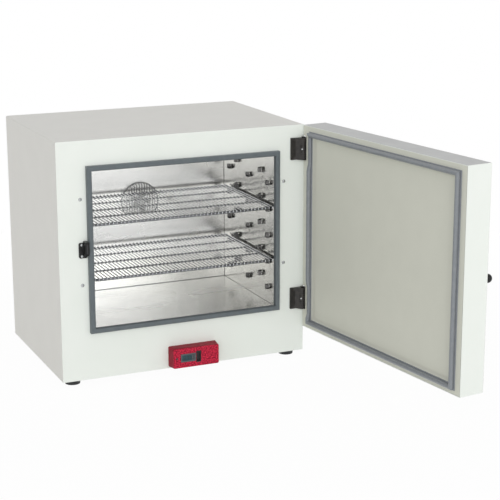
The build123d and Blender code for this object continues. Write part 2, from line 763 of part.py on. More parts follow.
def door_knob():
    """A turned pull knob: a foot, a waist and a domed head."""
    foot, rim = knob_radius * 0.85, knob_length - knob_radius
    waist = ThreePointArc((foot, 3.0), (foot * 0.8, rim * 0.45), (knob_radius, rim))
    dome = CenterArc((0, rim), knob_radius, 0, 90)
    outline = Polyline((0, knob_length), (0, 0), (foot, 0), (foot, 3.0)) + waist + dome
    knob = revolve(make_face(outline), Axis.Y)
    knob -= rod(drill, (0, -1, 0), (0, 12.0, 0))
    return Pos(knob_x, door_face, knob_height) * Rot(180, 0, 0) * knob


door["door_knob"] = door_knob()
door["knob_screw"] = screw((knob_x, door_face + door_sheet, knob_height), (0, 1, 0), 11.0)

# ---- Hinges: frame leaf with two knuckles, door leaf with the middle one, and the pin ----

knuckle = hinge_length * 0.3
bore = pin_radius + running_gap


def frame_leaf(z):
    """The leaf on the front frame: a plate that rises to its two knuckles, with room between them."""
    half = hinge_length / 2
    x = (case_width - frame_leaf_reach, axis_x)
    leaf = block(x, (-frame_leaf_sheet, 0), (z - half, z + half))
    leaf = fillet(leaf.edges().filter_by(Axis.Y).group_by(Axis.X)[0], 1.0)
    foot = Line((axis_x - frame_leaf_ramp, -frame_leaf_sheet), (axis_x - frame_leaf_ramp, -seam))
    barrel = Pos(axis_x, axis_y) * CenterArc((0, 0), barrel_radius, 0, 360)
    leaf += Pos(0, 0, z - half) * extrude(make_hull([foot, barrel]), amount=hinge_length)
    leaf -= rod(barrel_radius + knuckle_relief, (axis_x, axis_y, z - half + knuckle),
                (axis_x, axis_y, z + half - knuckle))
    leaf -= rod(bore, (axis_x, axis_y, z - half - 1), (axis_x, axis_y, z + half + 1))
    return leaf - [countersunk((hinge_screw_x, -frame_leaf_sheet, z + s * hinge_screw_spread),
                               (0, -1, 0), 12.0, 1.8, 3.65) for s in (-1, 1)]


def grub(z, radius, inner, outer):
    """A round bar that runs out from the hinge axis through the middle knuckle."""
    out = Vector(cos(radians(grub_angle)), sin(radians(grub_angle)), 0)
    centre = Vector(axis_x, axis_y, z)
    return rod(radius, centre + out * inner, centre + out * outer)


def door_leaf(z):
    """The leaf on the door's edge, with the middle knuckle."""
    half = hinge_length / 2
    x = (door_x[1], door_x[1] + door_leaf_sheet)
    leaf = block(x, (axis_y - door_leaf_width, axis_y), (z - half, z + half))
    leaf = fillet(leaf.edges().filter_by(Axis.X).group_by(Axis.Y)[0], 3.0)
    for low in (z - half - 1, z + half - knuckle - knuckle_gap):
        leaf -= rod(barrel_radius + knuckle_relief, (axis_x, axis_y, low),
                    (axis_x, axis_y, low + knuckle + knuckle_gap + 1))
    leaf += rod(barrel_radius, (axis_x, axis_y, z - half + knuckle + knuckle_gap),
                (axis_x, axis_y, z + half - knuckle - knuckle_gap))
    leaf -= rod(bore, (axis_x, axis_y, z - half), (axis_x, axis_y, z + half))
    leaf -= grub(z, grub_radius + hole_gap, 0.0, barrel_radius + 1.0)
    holes = [p for p in leaf_screw_places() if abs(p[1] - z) < half]
    return leaf - [countersunk((x[1], y, h), (1, 0, 0), 12.0, 1.8, 3.65) for y, h in holes]


def hinge_pin(z):
    """A headed pin dropped through the three knuckles."""
    half = hinge_length / 2
    pin = rod(pin_radius, (axis_x, axis_y, z - half - 1.0), (axis_x, axis_y, z + half))
    return pin + rod(pin_radius + 2.0, (axis_x, axis_y, z + half), (axis_x, axis_y, z + half + 2.5))


for place, z in hinge_heights.items():
    casing[f"frame_leaf_{place}"] = frame_leaf(z)
    door[f"door_leaf_{place}"] = door_leaf(z)
casing["hinge_pins"] = group(hinge_pin(z) for z in hinge_heights.values())
casing["hinge_screws"] = group(
    countersunk((hinge_screw_x, -frame_leaf_sheet, z + s * hinge_screw_spread), (0, -1, 0), 11.0)
    for z in hinge_heights.values() for s in (-1, 1))
door_leaf_screws = [countersunk((door_x[1] + door_leaf_sheet, y, z), (1, 0, 0), 10.0)
                    for y, z in leaf_screw_places()]
door_leaf_screws += [grub(z, grub_radius, bore + running_gap, barrel_radius - 0.4)
                     for z in hinge_heights.values()]
door["door_leaf_screws"] = group(door_leaf_screws)

# ---- Magnetic catch on the front frame ----

catch_front = door_back - dish_depth + seat_gap
magnet_x = catch_left + catch_width - catch_block_width / 2
magnet_z = catch_height + catch_block_raise


def catch_body():
    """A moulded flange with a block that holds the magnet up to the door's inner panel."""
    half = catch_length / 2
    flange = block((catch_left, catch_left + catch_width), (-3.0, 0),
                   (catch_height - half, catch_height + half))
    flange = fillet(flange.edges().filter_by(Axis.Y), 4.0)
    right = catch_left + catch_width
    tower = block((right - catch_block_width, right), (catch_front, 0),
                  grown((magnet_z, magnet_z), half - 2.0))
    tower = fillet(tower.edges().filter_by(Axis.Y).group_by(Axis.Z)[0], catch_block_width * 0.45)
    tower = fillet(tower.edges().filter_by(Axis.Y).group_by(Axis.Z)[-1], 1.5)
    pocket = block(grown((magnet_x, magnet_x), 1.5 + hole_gap), (catch_front - 1, catch_front + 8.0),
                   grown((magnet_z, magnet_z), 10.0 + hole_gap))
    return flange + tower - pocket - catch_holes()


casing["catch_body"] = catch_body()
casing["catch_magnet"] = block(grown((magnet_x, magnet_x), 1.5), (catch_front + 0.6, catch_front + 7.9),
                               grown((magnet_z, magnet_z), 10.0))
small_screws = [small_screw((catch_screw_x, -3.0, catch_height + s * catch_screw_spread), (0, -1, 0))
                for s in (-1, 1)]

# ---- Controller: housing, display, keys, rocker switch and lamp ----

bezel_x = (controller_left + 20.5, controller_left + 56.5)
bezel_z = (controller_z - 9.5, controller_z + 9.5)
rocker_x = (bezel_x[1] + 1.2, bezel_x[1] + 12.2)
rocker_z = (controller_z - 13.0, controller_z + 13.0)
lamp_x = controller_left + 11.0
panel_y = -controller_depth
module_y = (panel_y + 4.0, panel_y + 16.0)
key_x = (bezel_x[1] - 8.0, bezel_x[1] - 2.5)
key_gap = 0.15
key_flange = 0.4
key_travel = 0.8
key_rows = {"key_down": (controller_z - 6.2, controller_z - 1.0),
            "key_up": (controller_z + 1.0, controller_z + 6.2)}
display_x = (bezel_x[0] + 3.0, key_x[0] - 2.0)
display_z = (controller_z - 6.5, controller_z + 6.5)


def housing_form(inset, back, front):
    """The housing's outside or inside: a box that narrows a little towards its front."""
    x = grown((controller_left, controller_left + controller_width), -inset)
    z = grown((controller_bottom, controller_bottom + controller_height), -inset)
    rear = fillet(oblong(x, z).vertices(), 3.0)
    face = fillet(oblong(grown(x, -controller_draft), grown(z, -controller_draft / 2)).vertices(), 3.0)
    return loft([front_view(back, rear), front_view(front, face)])


def controller_housing():
    """The red moulded housing, open at the back, with two screw posts."""
    shell = housing_form(0.0, 0.0, panel_y)
    shell -= housing_form(controller_wall, 0.0, panel_y + controller_wall)
    for x in controller_screws_x:
        shell += rod(3.5, (x, panel_y + 1.0, controller_screw_z), (x, 0, controller_screw_z))
        shell -= rod(screw_radius, (x, -9.0, controller_screw_z), (x, 1, controller_screw_z))
    cut = (panel_y - 1, panel_y + controller_wall + 1)
    shell -= block(bezel_x, cut, bezel_z)
    shell -= block(rocker_x, cut, rocker_z)
    return shell - rod(2.6, (lamp_x, cut[0], controller_z), (lamp_x, cut[1], controller_z))


def display_bezel():
    """The grey frame round the display and the two keys."""
    bezel = block(grown(bezel_x, -seam), (panel_y - 1.0, module_y[0]), grown(bezel_z, -seam))
    bezel -= block(display_x, (panel_y - 2, module_y[0] + 1), display_z)
    for low, high in key_rows.values():
        bezel -= block(key_x, (panel_y - 2, module_y[0] + 1), (low, high))
    return bezel


casing["controller_housing"] = controller_housing()
casing["display_bezel"] = display_bezel()
casing["display_window"] = block(grown(display_x, -seam), (panel_y + 0.2, module_y[0] - seam),
                                 grown(display_z, -seam))
module = block(grown(bezel_x, -0.5), module_y, grown(bezel_z, -0.5))
well = (module_y[0] - 1, module_y[0] + 1.2 + key_travel + 0.5)
for span in key_rows.values():
    module -= block(grown(key_x, key_flange + 0.2), well, grown(span, key_flange + 0.2))
casing["display_module"] = module
for name, span in key_rows.items():
    key = block(grown(key_x, -key_gap), (panel_y - 2.0, module_y[0] + 1.2), grown(span, -key_gap))
    key = fillet(key.edges().group_by(Axis.Y)[0], 0.6)
    casing[name] = key + block(grown(key_x, key_flange), (module_y[0] + 0.2, module_y[0] + 1.2),
                               grown(span, key_flange))

pivot_y = panel_y + 3.5
rocker_middle = (sum(rocker_x) / 2, sum(rocker_z) / 2)
rocker_half = 10.6
rocker_tilt = 8.0         # degrees either side of level, switched off as drawn


def rocker_frame():
    """The switch's black body: a flanged well for the rocker, with a bore for its pivot."""
    y = (panel_y - 1.2, panel_y + 14.0)
    frame = block(grown(rocker_x, -seam), y, grown(rocker_z, -seam))
    well = (y[0] - 1, y[1] - 2.0)
    frame -= block(grown(rocker_x, -1.3), well, grown((rocker_middle[1],) * 2, rocker_half + 0.35))
    return frame - rod(1.05, (rocker_x[0] + 0.3, pivot_y, rocker_middle[1]),
                       (rocker_x[1] - 0.3, pivot_y, rocker_middle[1]))


def power_rocker():
    """A rocker with round ends and two faces that meet at a shallow angle, on a cross pin."""
    x = grown(rocker_x, -1.6)
    lens = rod(rocker_half, (x[0], pivot_y, rocker_middle[1]), (x[1], pivot_y, rocker_middle[1]))
    outline = Polyline((0, -2.6), (-rocker_half, -6.0), (-rocker_half - 1, 2.0), (0, 4.5),
                       (rocker_half + 1, 2.0), (rocker_half, -6.0), close=True)
    wedge = extrude(Plane(origin=(x[0], pivot_y, rocker_middle[1]), x_dir=(0, 0, 1),
                          z_dir=(-1, 0, 0)) * make_face(outline), amount=x[0] - x[1])
    rocker = (lens & wedge) + rod(1.0, (rocker_x[0] + 0.4, pivot_y, rocker_middle[1]),
                                  (rocker_x[1] - 0.4, pivot_y, rocker_middle[1]))
    pivot = Pos(0, pivot_y, rocker_middle[1])
    return pivot * Rot(-rocker_tilt, 0, 0) * pivot.inverse() * rocker


casing["rocker_frame"] = rocker_frame()
casing["power_rocker"] = power_rocker()
lamp = rod(2.5, (lamp_x, panel_y - 0.8, controller_z), (lamp_x, panel_y + 8.0, controller_z))
casing["indicator_lamp"] = chamfer(lamp.edges().group_by(Axis.Y)[0], 0.6)
case_screws += [screw((x, frame_sheet, controller_screw_z), (0, 1, 0)) for x in controller_screws_x]
casing["case_screws"] = group(case_screws)

# ---- Electrics in the bay, and the mains inlet in the rear panel ----

board_x = (controller_middle - 60.0, controller_middle + 60.0)
board_y = (60.0, 150.0)
board_z = case_sheet + 10.0
casing["board_posts"] = group(
    rod(3.0, (x, y, case_sheet), (x, y, board_z))
    for x in grown(board_x, -6.0) for y in grown(board_y, -6.0))
casing["power_board"] = block(board_x, board_y, (board_z, board_z + 1.6))
casing["solid_state_relay"] = block((board_x[0] + 10.0, board_x[0] + 55.0), (75.0, 133.0),
                                    (board_z + 1.6, board_z + 24.0))
cutout_x = board_x[1] + 60.0
cutout = rod(17.0, (cutout_x, 90.0, case_sheet), (cutout_x, 90.0, case_sheet + 22.0))
cutout += rod(4.0, (cutout_x, 90.0, case_sheet + 21.0), (cutout_x, 90.0, case_sheet + 32.0))
casing["safety_cutout"] = cutout


def power_inlet():
    """A mains inlet: an oblong flange, and a socket well that runs into the casing."""
    y = (case_depth - 20.0, case_depth + 3.0)
    flange = sheet_y(fillet(oblong((inlet_x - 25.0, inlet_x + 25.0),
                                   (inlet_z - 13.5, inlet_z + 13.5)).vertices(), 4.0),
                     (case_depth, y[1]))
    shape = oblong((inlet_x - 13.8, inlet_x + 13.8), (inlet_z - 10.2, inlet_z + 10.2))
    body = flange + sheet_y(shape, (y[0], case_depth))
    well = chamfer(oblong((inlet_x - 12.0, inlet_x + 12.0),
                          (inlet_z - 8.3, inlet_z + 8.3)).vertices().group_by(Axis.Y)[-1], 4.0)
    body -= sheet_y(well, (y[0] + 4.0, y[1] + 1))
    return body - [rod(small_drill, (inlet_x + s * inlet_screw_spread, case_depth - 1, inlet_z),
                       (inlet_x + s * inlet_screw_spread, y[1] + 1, inlet_z)) for s in (-1, 1)]


inlet_back = case_depth - 16.0
casing["power_inlet"] = power_inlet()
casing["inlet_pins"] = group(
    block((inlet_x + x - 1.0, inlet_x + x + 1.0), (inlet_back, inlet_back + 13.0),
          (inlet_z + z - 2.0, inlet_z + z + 2.0)) for x, z in ((-7.0, -2.0), (0.0, 2.0), (7.0, -2.0)))
small_screws += [small_screw((inlet_x + s * inlet_screw_spread, case_depth + 3.0, inlet_z), (0, 1, 0))
                 for s in (-1, 1)]
casing["small_screws"] = group(small_screws)

# ---- Stand the door open, move the origin below the middle, and write the files ----

hinge_axis = Pos(axis_x, axis_y, 0)
swing = hinge_axis * Rot(0, 0, door_opening) * hinge_axis.inverse()
nodes = dict(casing)
nodes.update({name: swing * piece for name, piece in door.items()})
boxes = [piece.bounding_box() for piece in nodes.values()]
low = [min(getattr(b.min, a) for b in boxes) for a in "XYZ"]
high = [max(getattr(b.max, a) for b in boxes) for a in "XYZ"]
shift = (-(low[0] + high[0]) / 2, -(low[1] + high[1]) / 2, -low[2])
for name, piece in nodes.items():
    export_step(Pos(*shift) * piece, f"parts/{name}.step")
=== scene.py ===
import json
from math import asin, cos, pi, radians, sin

import bmesh
import bpy
from mathutils import Matrix, Vector, noise

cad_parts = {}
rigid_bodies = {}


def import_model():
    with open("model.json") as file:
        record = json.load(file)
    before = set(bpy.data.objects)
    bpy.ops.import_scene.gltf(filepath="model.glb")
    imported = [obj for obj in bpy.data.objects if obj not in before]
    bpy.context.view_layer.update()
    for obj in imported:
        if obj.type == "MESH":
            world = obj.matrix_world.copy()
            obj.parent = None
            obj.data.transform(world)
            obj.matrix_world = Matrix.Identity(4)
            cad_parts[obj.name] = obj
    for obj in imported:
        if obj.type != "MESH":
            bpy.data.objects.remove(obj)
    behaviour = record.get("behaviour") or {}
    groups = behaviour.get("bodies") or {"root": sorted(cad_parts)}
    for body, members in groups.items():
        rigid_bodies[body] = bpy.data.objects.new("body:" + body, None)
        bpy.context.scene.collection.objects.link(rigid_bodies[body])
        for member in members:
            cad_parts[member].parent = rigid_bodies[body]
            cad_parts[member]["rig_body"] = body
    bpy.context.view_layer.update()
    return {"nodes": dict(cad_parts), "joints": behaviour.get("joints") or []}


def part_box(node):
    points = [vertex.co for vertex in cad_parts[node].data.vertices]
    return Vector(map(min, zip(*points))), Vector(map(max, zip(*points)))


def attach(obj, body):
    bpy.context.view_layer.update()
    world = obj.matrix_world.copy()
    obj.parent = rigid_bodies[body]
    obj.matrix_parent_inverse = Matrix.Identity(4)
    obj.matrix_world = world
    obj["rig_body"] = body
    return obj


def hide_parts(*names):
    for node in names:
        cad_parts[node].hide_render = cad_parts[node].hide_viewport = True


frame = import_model()

# ---------------------------------------------------------------------------
# Base pan and deck. Folded from galvanised sheet, which is left unpainted where nobody sees it.
# The zinc gives it a cool grey with soft cloudy patches.

mm = 0.001


def linear(code):
    """A colour written as sRGB hex, as the linear values that shaders take."""
    parts = [int(code[i:i + 2], 16) / 255 for i in (0, 2, 4)]
    return [p / 12.92 if p <= 0.04045 else ((p + 0.055) / 1.055) ** 2.4 for p in parts] + [1.0]


def add(tree, kind, values=None, **settings):
    """Adds a node. settings are its properties. values go to its inputs: each is a constant, a
    socket to link, or a node whose first output is linked."""
    made = tree.nodes.new(kind)
    for key, value in settings.items():
        setattr(made, key, value)
    for socket, value in (values or {}).items():
        if isinstance(value, bpy.types.Node):
            value = value.outputs[0]
        if isinstance(value, bpy.types.NodeSocket):
            tree.links.new(value, made.inputs[socket])
        else:
            made.inputs[socket].default_value = value
    return made


def finish(name, colour, roughness, **values):
    """A new material with one Principled shader, and its node tree."""
    material = bpy.data.materials.new(name)
    material.use_nodes = True
    tree = material.node_tree
    tree.nodes.clear()
    inputs = {"Base Color": linear(colour), "Roughness": roughness}
    inputs.update({key.replace("_", " ").title().replace("Ior", "IOR"): v for key, v in values.items()})
    shader = add(tree, "ShaderNodeBsdfPrincipled", inputs)
    add(tree, "ShaderNodeOutputMaterial", {"Surface": shader})
    return material, tree, shader


def drift(tree, size, stretch, detail):
    """A value that drifts in patches of about that size in millimetres, fixed to the piece."""
    place = add(tree, "ShaderNodeTexCoord").outputs["Object"]
    place = add(tree, "ShaderNodeMapping", {"Vector": place, "Scale": stretch})
    return add(tree, "ShaderNodeTexNoise", {"Vector": place, "Scale": 1 / (size * mm), "Detail": detail})


def mottle(tree, shader, other, size, amount=1.0, stretch=(1, 1, 1), detail=3.0):
    """Lets the base colour drift to another one."""
    patches = drift(tree, size, stretch, detail)
    share = add(tree, "ShaderNodeMapRange", {"Value": patches, "From Min": 0.3, "From Max": 0.7,
                                             "To Max": amount})
    colour = add(tree, "ShaderNodeMix", {0: share, 6: shader.inputs["Base Color"].default_value,
                                         7: linear(other)}, data_type="RGBA")
    tree.links.new(colour.outputs[2], shader.inputs["Base Color"])


def relief(tree, shader, size, height, stretch=(1, 1, 1), detail=2.0):
    """Raises a fine unevenness, both its size and its height in millimetres."""
    bumps = drift(tree, size, stretch, detail)
    bump = add(tree, "ShaderNodeBump", {"Height": bumps, "Distance": height * mm, "Strength": 1.0})
    tree.links.new(bump.outputs[0], shader.inputs["Normal"])


def uneven_gloss(tree, shader, low, high, size, stretch=(1, 1, 1)):
    """Lets the roughness drift between two values."""
    patches = drift(tree, size, stretch, 2.0)
    spread = add(tree, "ShaderNodeMapRange", {"Value": patches, "From Min": 0.3, "From Max": 0.7,
                                              "To Min": low, "To Max": high})
    tree.links.new(spread.outputs[0], shader.inputs["Roughness"])


def coat(material, *nodes):
    """Puts a material on CAD nodes as they are."""
    for name in nodes:
        for holder in frame["nodes"][name].material_slots:
            holder.material = material


def fair(material, *nodes, sharp=32):
    """Takes the place of CAD nodes with smooth-shaded copies, each riding on its node's body."""
    made = []
    for name in nodes:
        source = frame["nodes"][name]
        mesh = source.data.copy()
        grid = bmesh.new()
        grid.from_mesh(mesh)
        bmesh.ops.remove_doubles(grid, verts=grid.verts, dist=0.002 * mm)
        grid.to_mesh(mesh)
        grid.free()
        mesh.shade_smooth()
        mesh.set_sharp_from_angle(angle=radians(sharp))
        mesh.materials.clear()
        mesh.materials.append(material)
        piece = bpy.data.objects.new(f"{name}_faired", mesh)
        bpy.context.collection.objects.link(piece)
        weighting = piece.modifiers.new("weights", "WEIGHTED_NORMAL")
        weighting.keep_sharp = True
        hand_over(piece, source["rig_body"], name)
        made.append(piece)
    return made


def edge_faces(piece, material, way, share, below=False):
    """Gives a second material to the faces that look one way, or with below to those that do not."""
    piece.data.materials.append(material)
    for face in piece.data.polygons:
        if (face.normal.dot(way) < share) == below:
            face.material_index = 1


def hand_over(piece, body, *nodes, like=None):
    """Puts a piece on its body and hides the nodes it stands for. like is not used."""
    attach(piece, body)
    if nodes:
        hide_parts(*nodes)


zinc, tree, shader = finish("galvanised_steel", "9FA3A4", 0.42, metallic=0.85)
mottle(tree, shader, "B4B7B6", 14)
relief(tree, shader, 9, 0.02)
coat(zinc, "base_pan", "bay_deck")

# ---------------------------------------------------------------------------
# Four moulded rubber feet, each a low cone with a recess for its screw.
# Black rubber is matt with a faint grey bloom.

rubber, tree, shader = finish("moulded_rubber", "17181A", 0.62)
mottle(tree, shader, "26282A", 6, 0.7)
relief(tree, shader, 1.2, 0.03)
fair(rubber, "foot_front_left", "foot_front_right", "foot_rear_left", "foot_rear_right")

# ---------------------------------------------------------------------------
# Case wrap: the left side, top and right side folded from one steel sheet and powder coated.
# Powder coat is semi-matt, with an orange peel about 2 mm across; drawn at 3 mm so that it shows.

powder, tree, shader = finish("powder_coat_warm_white", "E4E3DE", 0.5, specular_ior_level=0.45)
mottle(tree, shader, "E1E0DB", 60, 0.8)
relief(tree, shader, 3.0, 0.035)
fair(powder, "case_wrap")

# ---------------------------------------------------------------------------
# Front frame: the painted steel face round the chamber's mouth. Its coat is whiter and smoother
# than the wrap's, with the same orange peel.

front_coat, tree, shader = finish("powder_coat_white", "EEF2ED", 0.4, specular_ior_level=0.5)
mottle(tree, shader, "EBF0EA", 80, 0.8)
relief(tree, shader, 3.0, 0.02)
fair(front_coat, "front_frame")

# ---------------------------------------------------------------------------
# Rear panel: a flat coated sheet with pressed cooling slots, screwed to the wrap's returns.

coat(powder, "rear_panel")

# ---------------------------------------------------------------------------
# Chamber liner. Bright-annealed stainless sheet: the floor, rear wall and roof are one folded
# piece, and each side is a plate with its shelf lugs pressed in. The sheet is a cloudy mirror,
# with faint rolling marks from left to right on the wrap and from front to back on the sides.

lug_clear = 0.8 * mm

bright_sheet, tree, shader = finish("bright_annealed_stainless", "FBFBF9", 0.22, metallic=1.0,
                                    anisotropic=0.2)
mottle(tree, shader, "F1F1EE", 90, 0.6, stretch=(0.3, 1, 1))
relief(tree, shader, 80, 0.04, stretch=(0.5, 1, 1))
uneven_gloss(tree, shader, 0.2, 0.28, 60, stretch=(0.25, 1, 1))
fair(bright_sheet, "liner_wrap")

# The side plates and the vent duct take a darker copy of the same sheet: painted shade, which also darkens
# the floor that mirrors them.
shaded_side_sheet, tree, shader = finish("bright_annealed_stainless_sides", "DEDDD9", 0.16, metallic=1.0,
                                  anisotropic=0.2)
mottle(tree, shader, "CFCECA", 80, 0.7, stretch=(1, 0.3, 1))
relief(tree, shader, 80, 0.04, stretch=(1, 0.5, 1))
uneven_gloss(tree, shader, 0.11, 0.2, 60, stretch=(1, 0.25, 1))
fair(shaded_side_sheet, "vent_duct")

# All that stands clear of a plate, the pressed lugs, takes a deeper grey: painted shade and dark reflection.
far_left, far_right = [corner.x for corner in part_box("liner_wrap")]
place = add(tree, "ShaderNodeTexCoord").outputs["Object"]
centred = add(tree, "ShaderNodeMapping", {"Vector": place, "Location": (-(far_left + far_right) / 2, 0, 0)})
off_middle = add(tree, "ShaderNodeMath", {0: add(tree, "ShaderNodeSeparateXYZ", {0: centred})},
                 operation="ABSOLUTE")
plate = (far_right - far_left) / 2
lug_shade = add(tree, "ShaderNodeMapRange", {"Value": off_middle, "From Min": plate - 3 * lug_clear,
                                         "From Max": plate - lug_clear, "To Min": 1.0, "To Max": 0.0})
sheet_colour = shader.inputs["Base Color"].links[0].from_socket
painted_lug_shade = add(tree, "ShaderNodeMix", {0: lug_shade, 6: sheet_colour, 7: linear("626160")}, data_type="RGBA")
tree.links.new(painted_lug_shade.outputs[2], shader.inputs["Base Color"])
fair(shaded_side_sheet, "liner_side_left", "liner_side_right")

# ---------------------------------------------------------------------------
# Edging round the mouth: a grey silicone channel pushed over the liner's edge, cut into four
# lengths that meet in mitres. It is matt, and lies a little unevenly because it is only pushed on.

step_length = 9 * mm
edging_face = 11 * mm
edging_round = 3 * mm


def swept_runs(name, outline, low, high, base, rise, wander, height=None):
    """Sweeps a section round an upright rectangle in four mitred runs, and lets it stray a little.

    The section's points are across, from the outer side inwards, and up from base towards rise.
    height gives how much of the section's height is left at a place on the last side."""
    top = max(up for across, up in outline)
    grid = bmesh.new()
    corners = [Vector((low.x, 0, low.z)), Vector((low.x, 0, high.z)), Vector((high.x, 0, high.z)),
               Vector((high.x, 0, low.z))]
    for side in range(4):
        start, end = corners[side], corners[(side + 1) % 4]
        run = (end - start).normalized()
        inward = Vector((run.z, 0, -run.x))
        steps = max(2, round((end - start).length / step_length))
        rings = []
        for i in range(steps + 1):
            along = (end - start).length * i / steps
            spot = start + run * along
            stray = noise.noise(Vector((along * 30, side * 7.0, 0))) * wander
            share = height(spot.z) if height and side == 2 else 1.0
            ring = []
            for across, up in outline:
                mitre = across if i == 0 else (-across if i == steps else 0)
                shift = stray * min(1, up / top) if 0 < i < steps else 0
                place = spot + inward * (across + shift) + run * mitre
                ring.append(grid.verts.new((place.x, base + rise * up * share, place.z)))
            rings.append(ring)
        for first, second in zip(rings, rings[1:]):
            for k in range(len(outline)):
                after = (k + 1) % len(outline)
                grid.faces.new((first[k], first[after], second[after], second[k]))
    bmesh.ops.remove_doubles(grid, verts=grid.verts, dist=0.01 * mm)
    bmesh.ops.recalc_face_normals(grid, faces=grid.faces)
    mesh = bpy.data.meshes.new(name)
    grid.to_mesh(mesh)
    grid.free()
    return mesh


def lay(name, mesh, material, sharp, body, *nodes):
    """Puts a mesh into the scene as a smooth-shaded piece of one material."""
    mesh.shade_smooth()
    mesh.set_sharp_from_angle(angle=radians(sharp))
    mesh.materials.append(material)
    piece = bpy.data.objects.new(name, mesh)
    bpy.context.collection.objects.link(piece)
    hand_over(piece, body, *nodes)
    return piece


silicone, tree, shader = finish("grey_silicone", "596165", 0.55, sheen_weight=0.12)
mottle(tree, shader, "656D71", 12, 0.7)
relief(tree, shader, 4.0, 0.06)

low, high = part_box("chamber_trim")
proud = high.y - low.y
edging = [(0, 0), (0, proud - edging_round)]
for corner, lean in ((edging_round, 180), (edging_face - edging_round, 90)):
    for i in range(7):
        turn = radians(lean - 15 * i)
        edging.append((corner + edging_round * cos(turn), proud - edging_round + edging_round * sin(turn)))
edging += [(edging_face, proud - edging_round), (edging_face, 0)]
edging = [spot for i, spot in enumerate(edging) if spot not in edging[:i]]
lay("edging_runs", swept_runs("edging_runs", edging, low, high, high.y, -1, 0.35 * mm),
    silicone, 40, "oven", "chamber_trim")

# ---------------------------------------------------------------------------
# Insulation: slabs of mineral wool packed round the chamber and inside the door.
# Matted fibres, a few millimetres long, in a dull straw colour.

wool, tree, shader = finish("mineral_wool", "B5A374", 0.95)
mottle(tree, shader, "8F7E54", 5)
relief(tree, shader, 2.0, 0.6, stretch=(1, 1, 3))
coat(wool, "insulation_left", "insulation_right", "insulation_top", "insulation_bottom",
     "insulation_rear", "door_insulation")

# ---------------------------------------------------------------------------
# Heater: a sheathed tube bent into a W on two rails under the floor. Heat has blued its steel.

sheath, tree, shader = finish("heat_tinted_steel", "6B655F", 0.4, metallic=0.9)
mottle(tree, shader, "57606E", 20)
fair(sheath, "heater_element")
coat(zinc, "heater_rails", "motor_bracket")

# ---------------------------------------------------------------------------
# Fan: a stamped impeller on the motor's shaft, in front of it a guard of bright wire, and the
# motor behind the insulation. Each wire of the guard is bent back at both ends and welded to a
# wire outline: an arch over a straight sill. The motor's laminated core is dark lacquered steel.


def socket(tree, label, kind, out=False):
    """Adds a named input or output to a node tree."""
    tree.interface.new_socket(label, in_out="OUTPUT" if out else "INPUT", socket_type=f"NodeSocket{kind}")


def new_tree(name, **kinds):
    """A Geometry Nodes tree with named inputs, and the sockets that carry them."""
    tree = bpy.data.node_groups.new(name, "GeometryNodeTree")
    socket(tree, "Geometry", "Geometry", out=True)
    socket(tree, "Geometry", "Geometry")
    for label, kind in kinds.items():
        socket(tree, label.replace("_", " "), kind)
    return tree, add(tree, "NodeGroupInput").outputs


def wire(tree, curve, radius, sides=12):
    """Gives a curve the thickness of a round wire with closed ends."""
    section = add(tree, "GeometryNodeCurvePrimitiveCircle", {"Resolution": sides, "Radius": radius})
    return add(tree, "GeometryNodeCurveToMesh", {"Curve": curve, "Profile Curve": section,
                                                 "Fill Caps": True})


def close_tree(tree, place, *parts):
    """Moves each part to its place, makes it real, gives it its material and joins it to the rest."""
    whole = add(tree, "GeometryNodeJoinGeometry")
    for part, material in parts:
        moved = add(tree, "GeometryNodeTransform", {"Geometry": part, "Translation": place})
        solid = add(tree, "GeometryNodeRealizeInstances", {"Geometry": moved})
        dressed = add(tree, "GeometryNodeSetMaterial", {"Geometry": solid, "Material": material})
        tree.links.new(dressed.outputs[0], whole.inputs[0])
    add(tree, "NodeGroupOutput", {0: whole})


def run_tree(name, tree, points=((0, 0, 0),), edges=(), sharp=40, **values):
    """Runs a node tree on points and edges and returns its result as a plain mesh object."""
    start = bpy.data.meshes.new(name)
    start.from_pydata([tuple(p) for p in points], list(edges), [])
    holder = bpy.data.objects.new(name, start)
    bpy.context.collection.objects.link(holder)
    modifier = holder.modifiers.new("nodes", "NODES")
    modifier.node_group = tree
    for item in tree.interface.items_tree:
        if item.in_out == "INPUT" and item.name.replace(" ", "_") in values:
            modifier[item.identifier] = values[item.name.replace(" ", "_")]
    bpy.context.view_layer.update()
    ready = holder.evaluated_get(bpy.context.evaluated_depsgraph_get())
    mesh = bpy.data.meshes.new_from_object(ready)
    mesh.shade_smooth()
    mesh.set_sharp_from_angle(angle=radians(sharp))
    holder.modifiers.clear()
    holder.data = mesh
    return holder


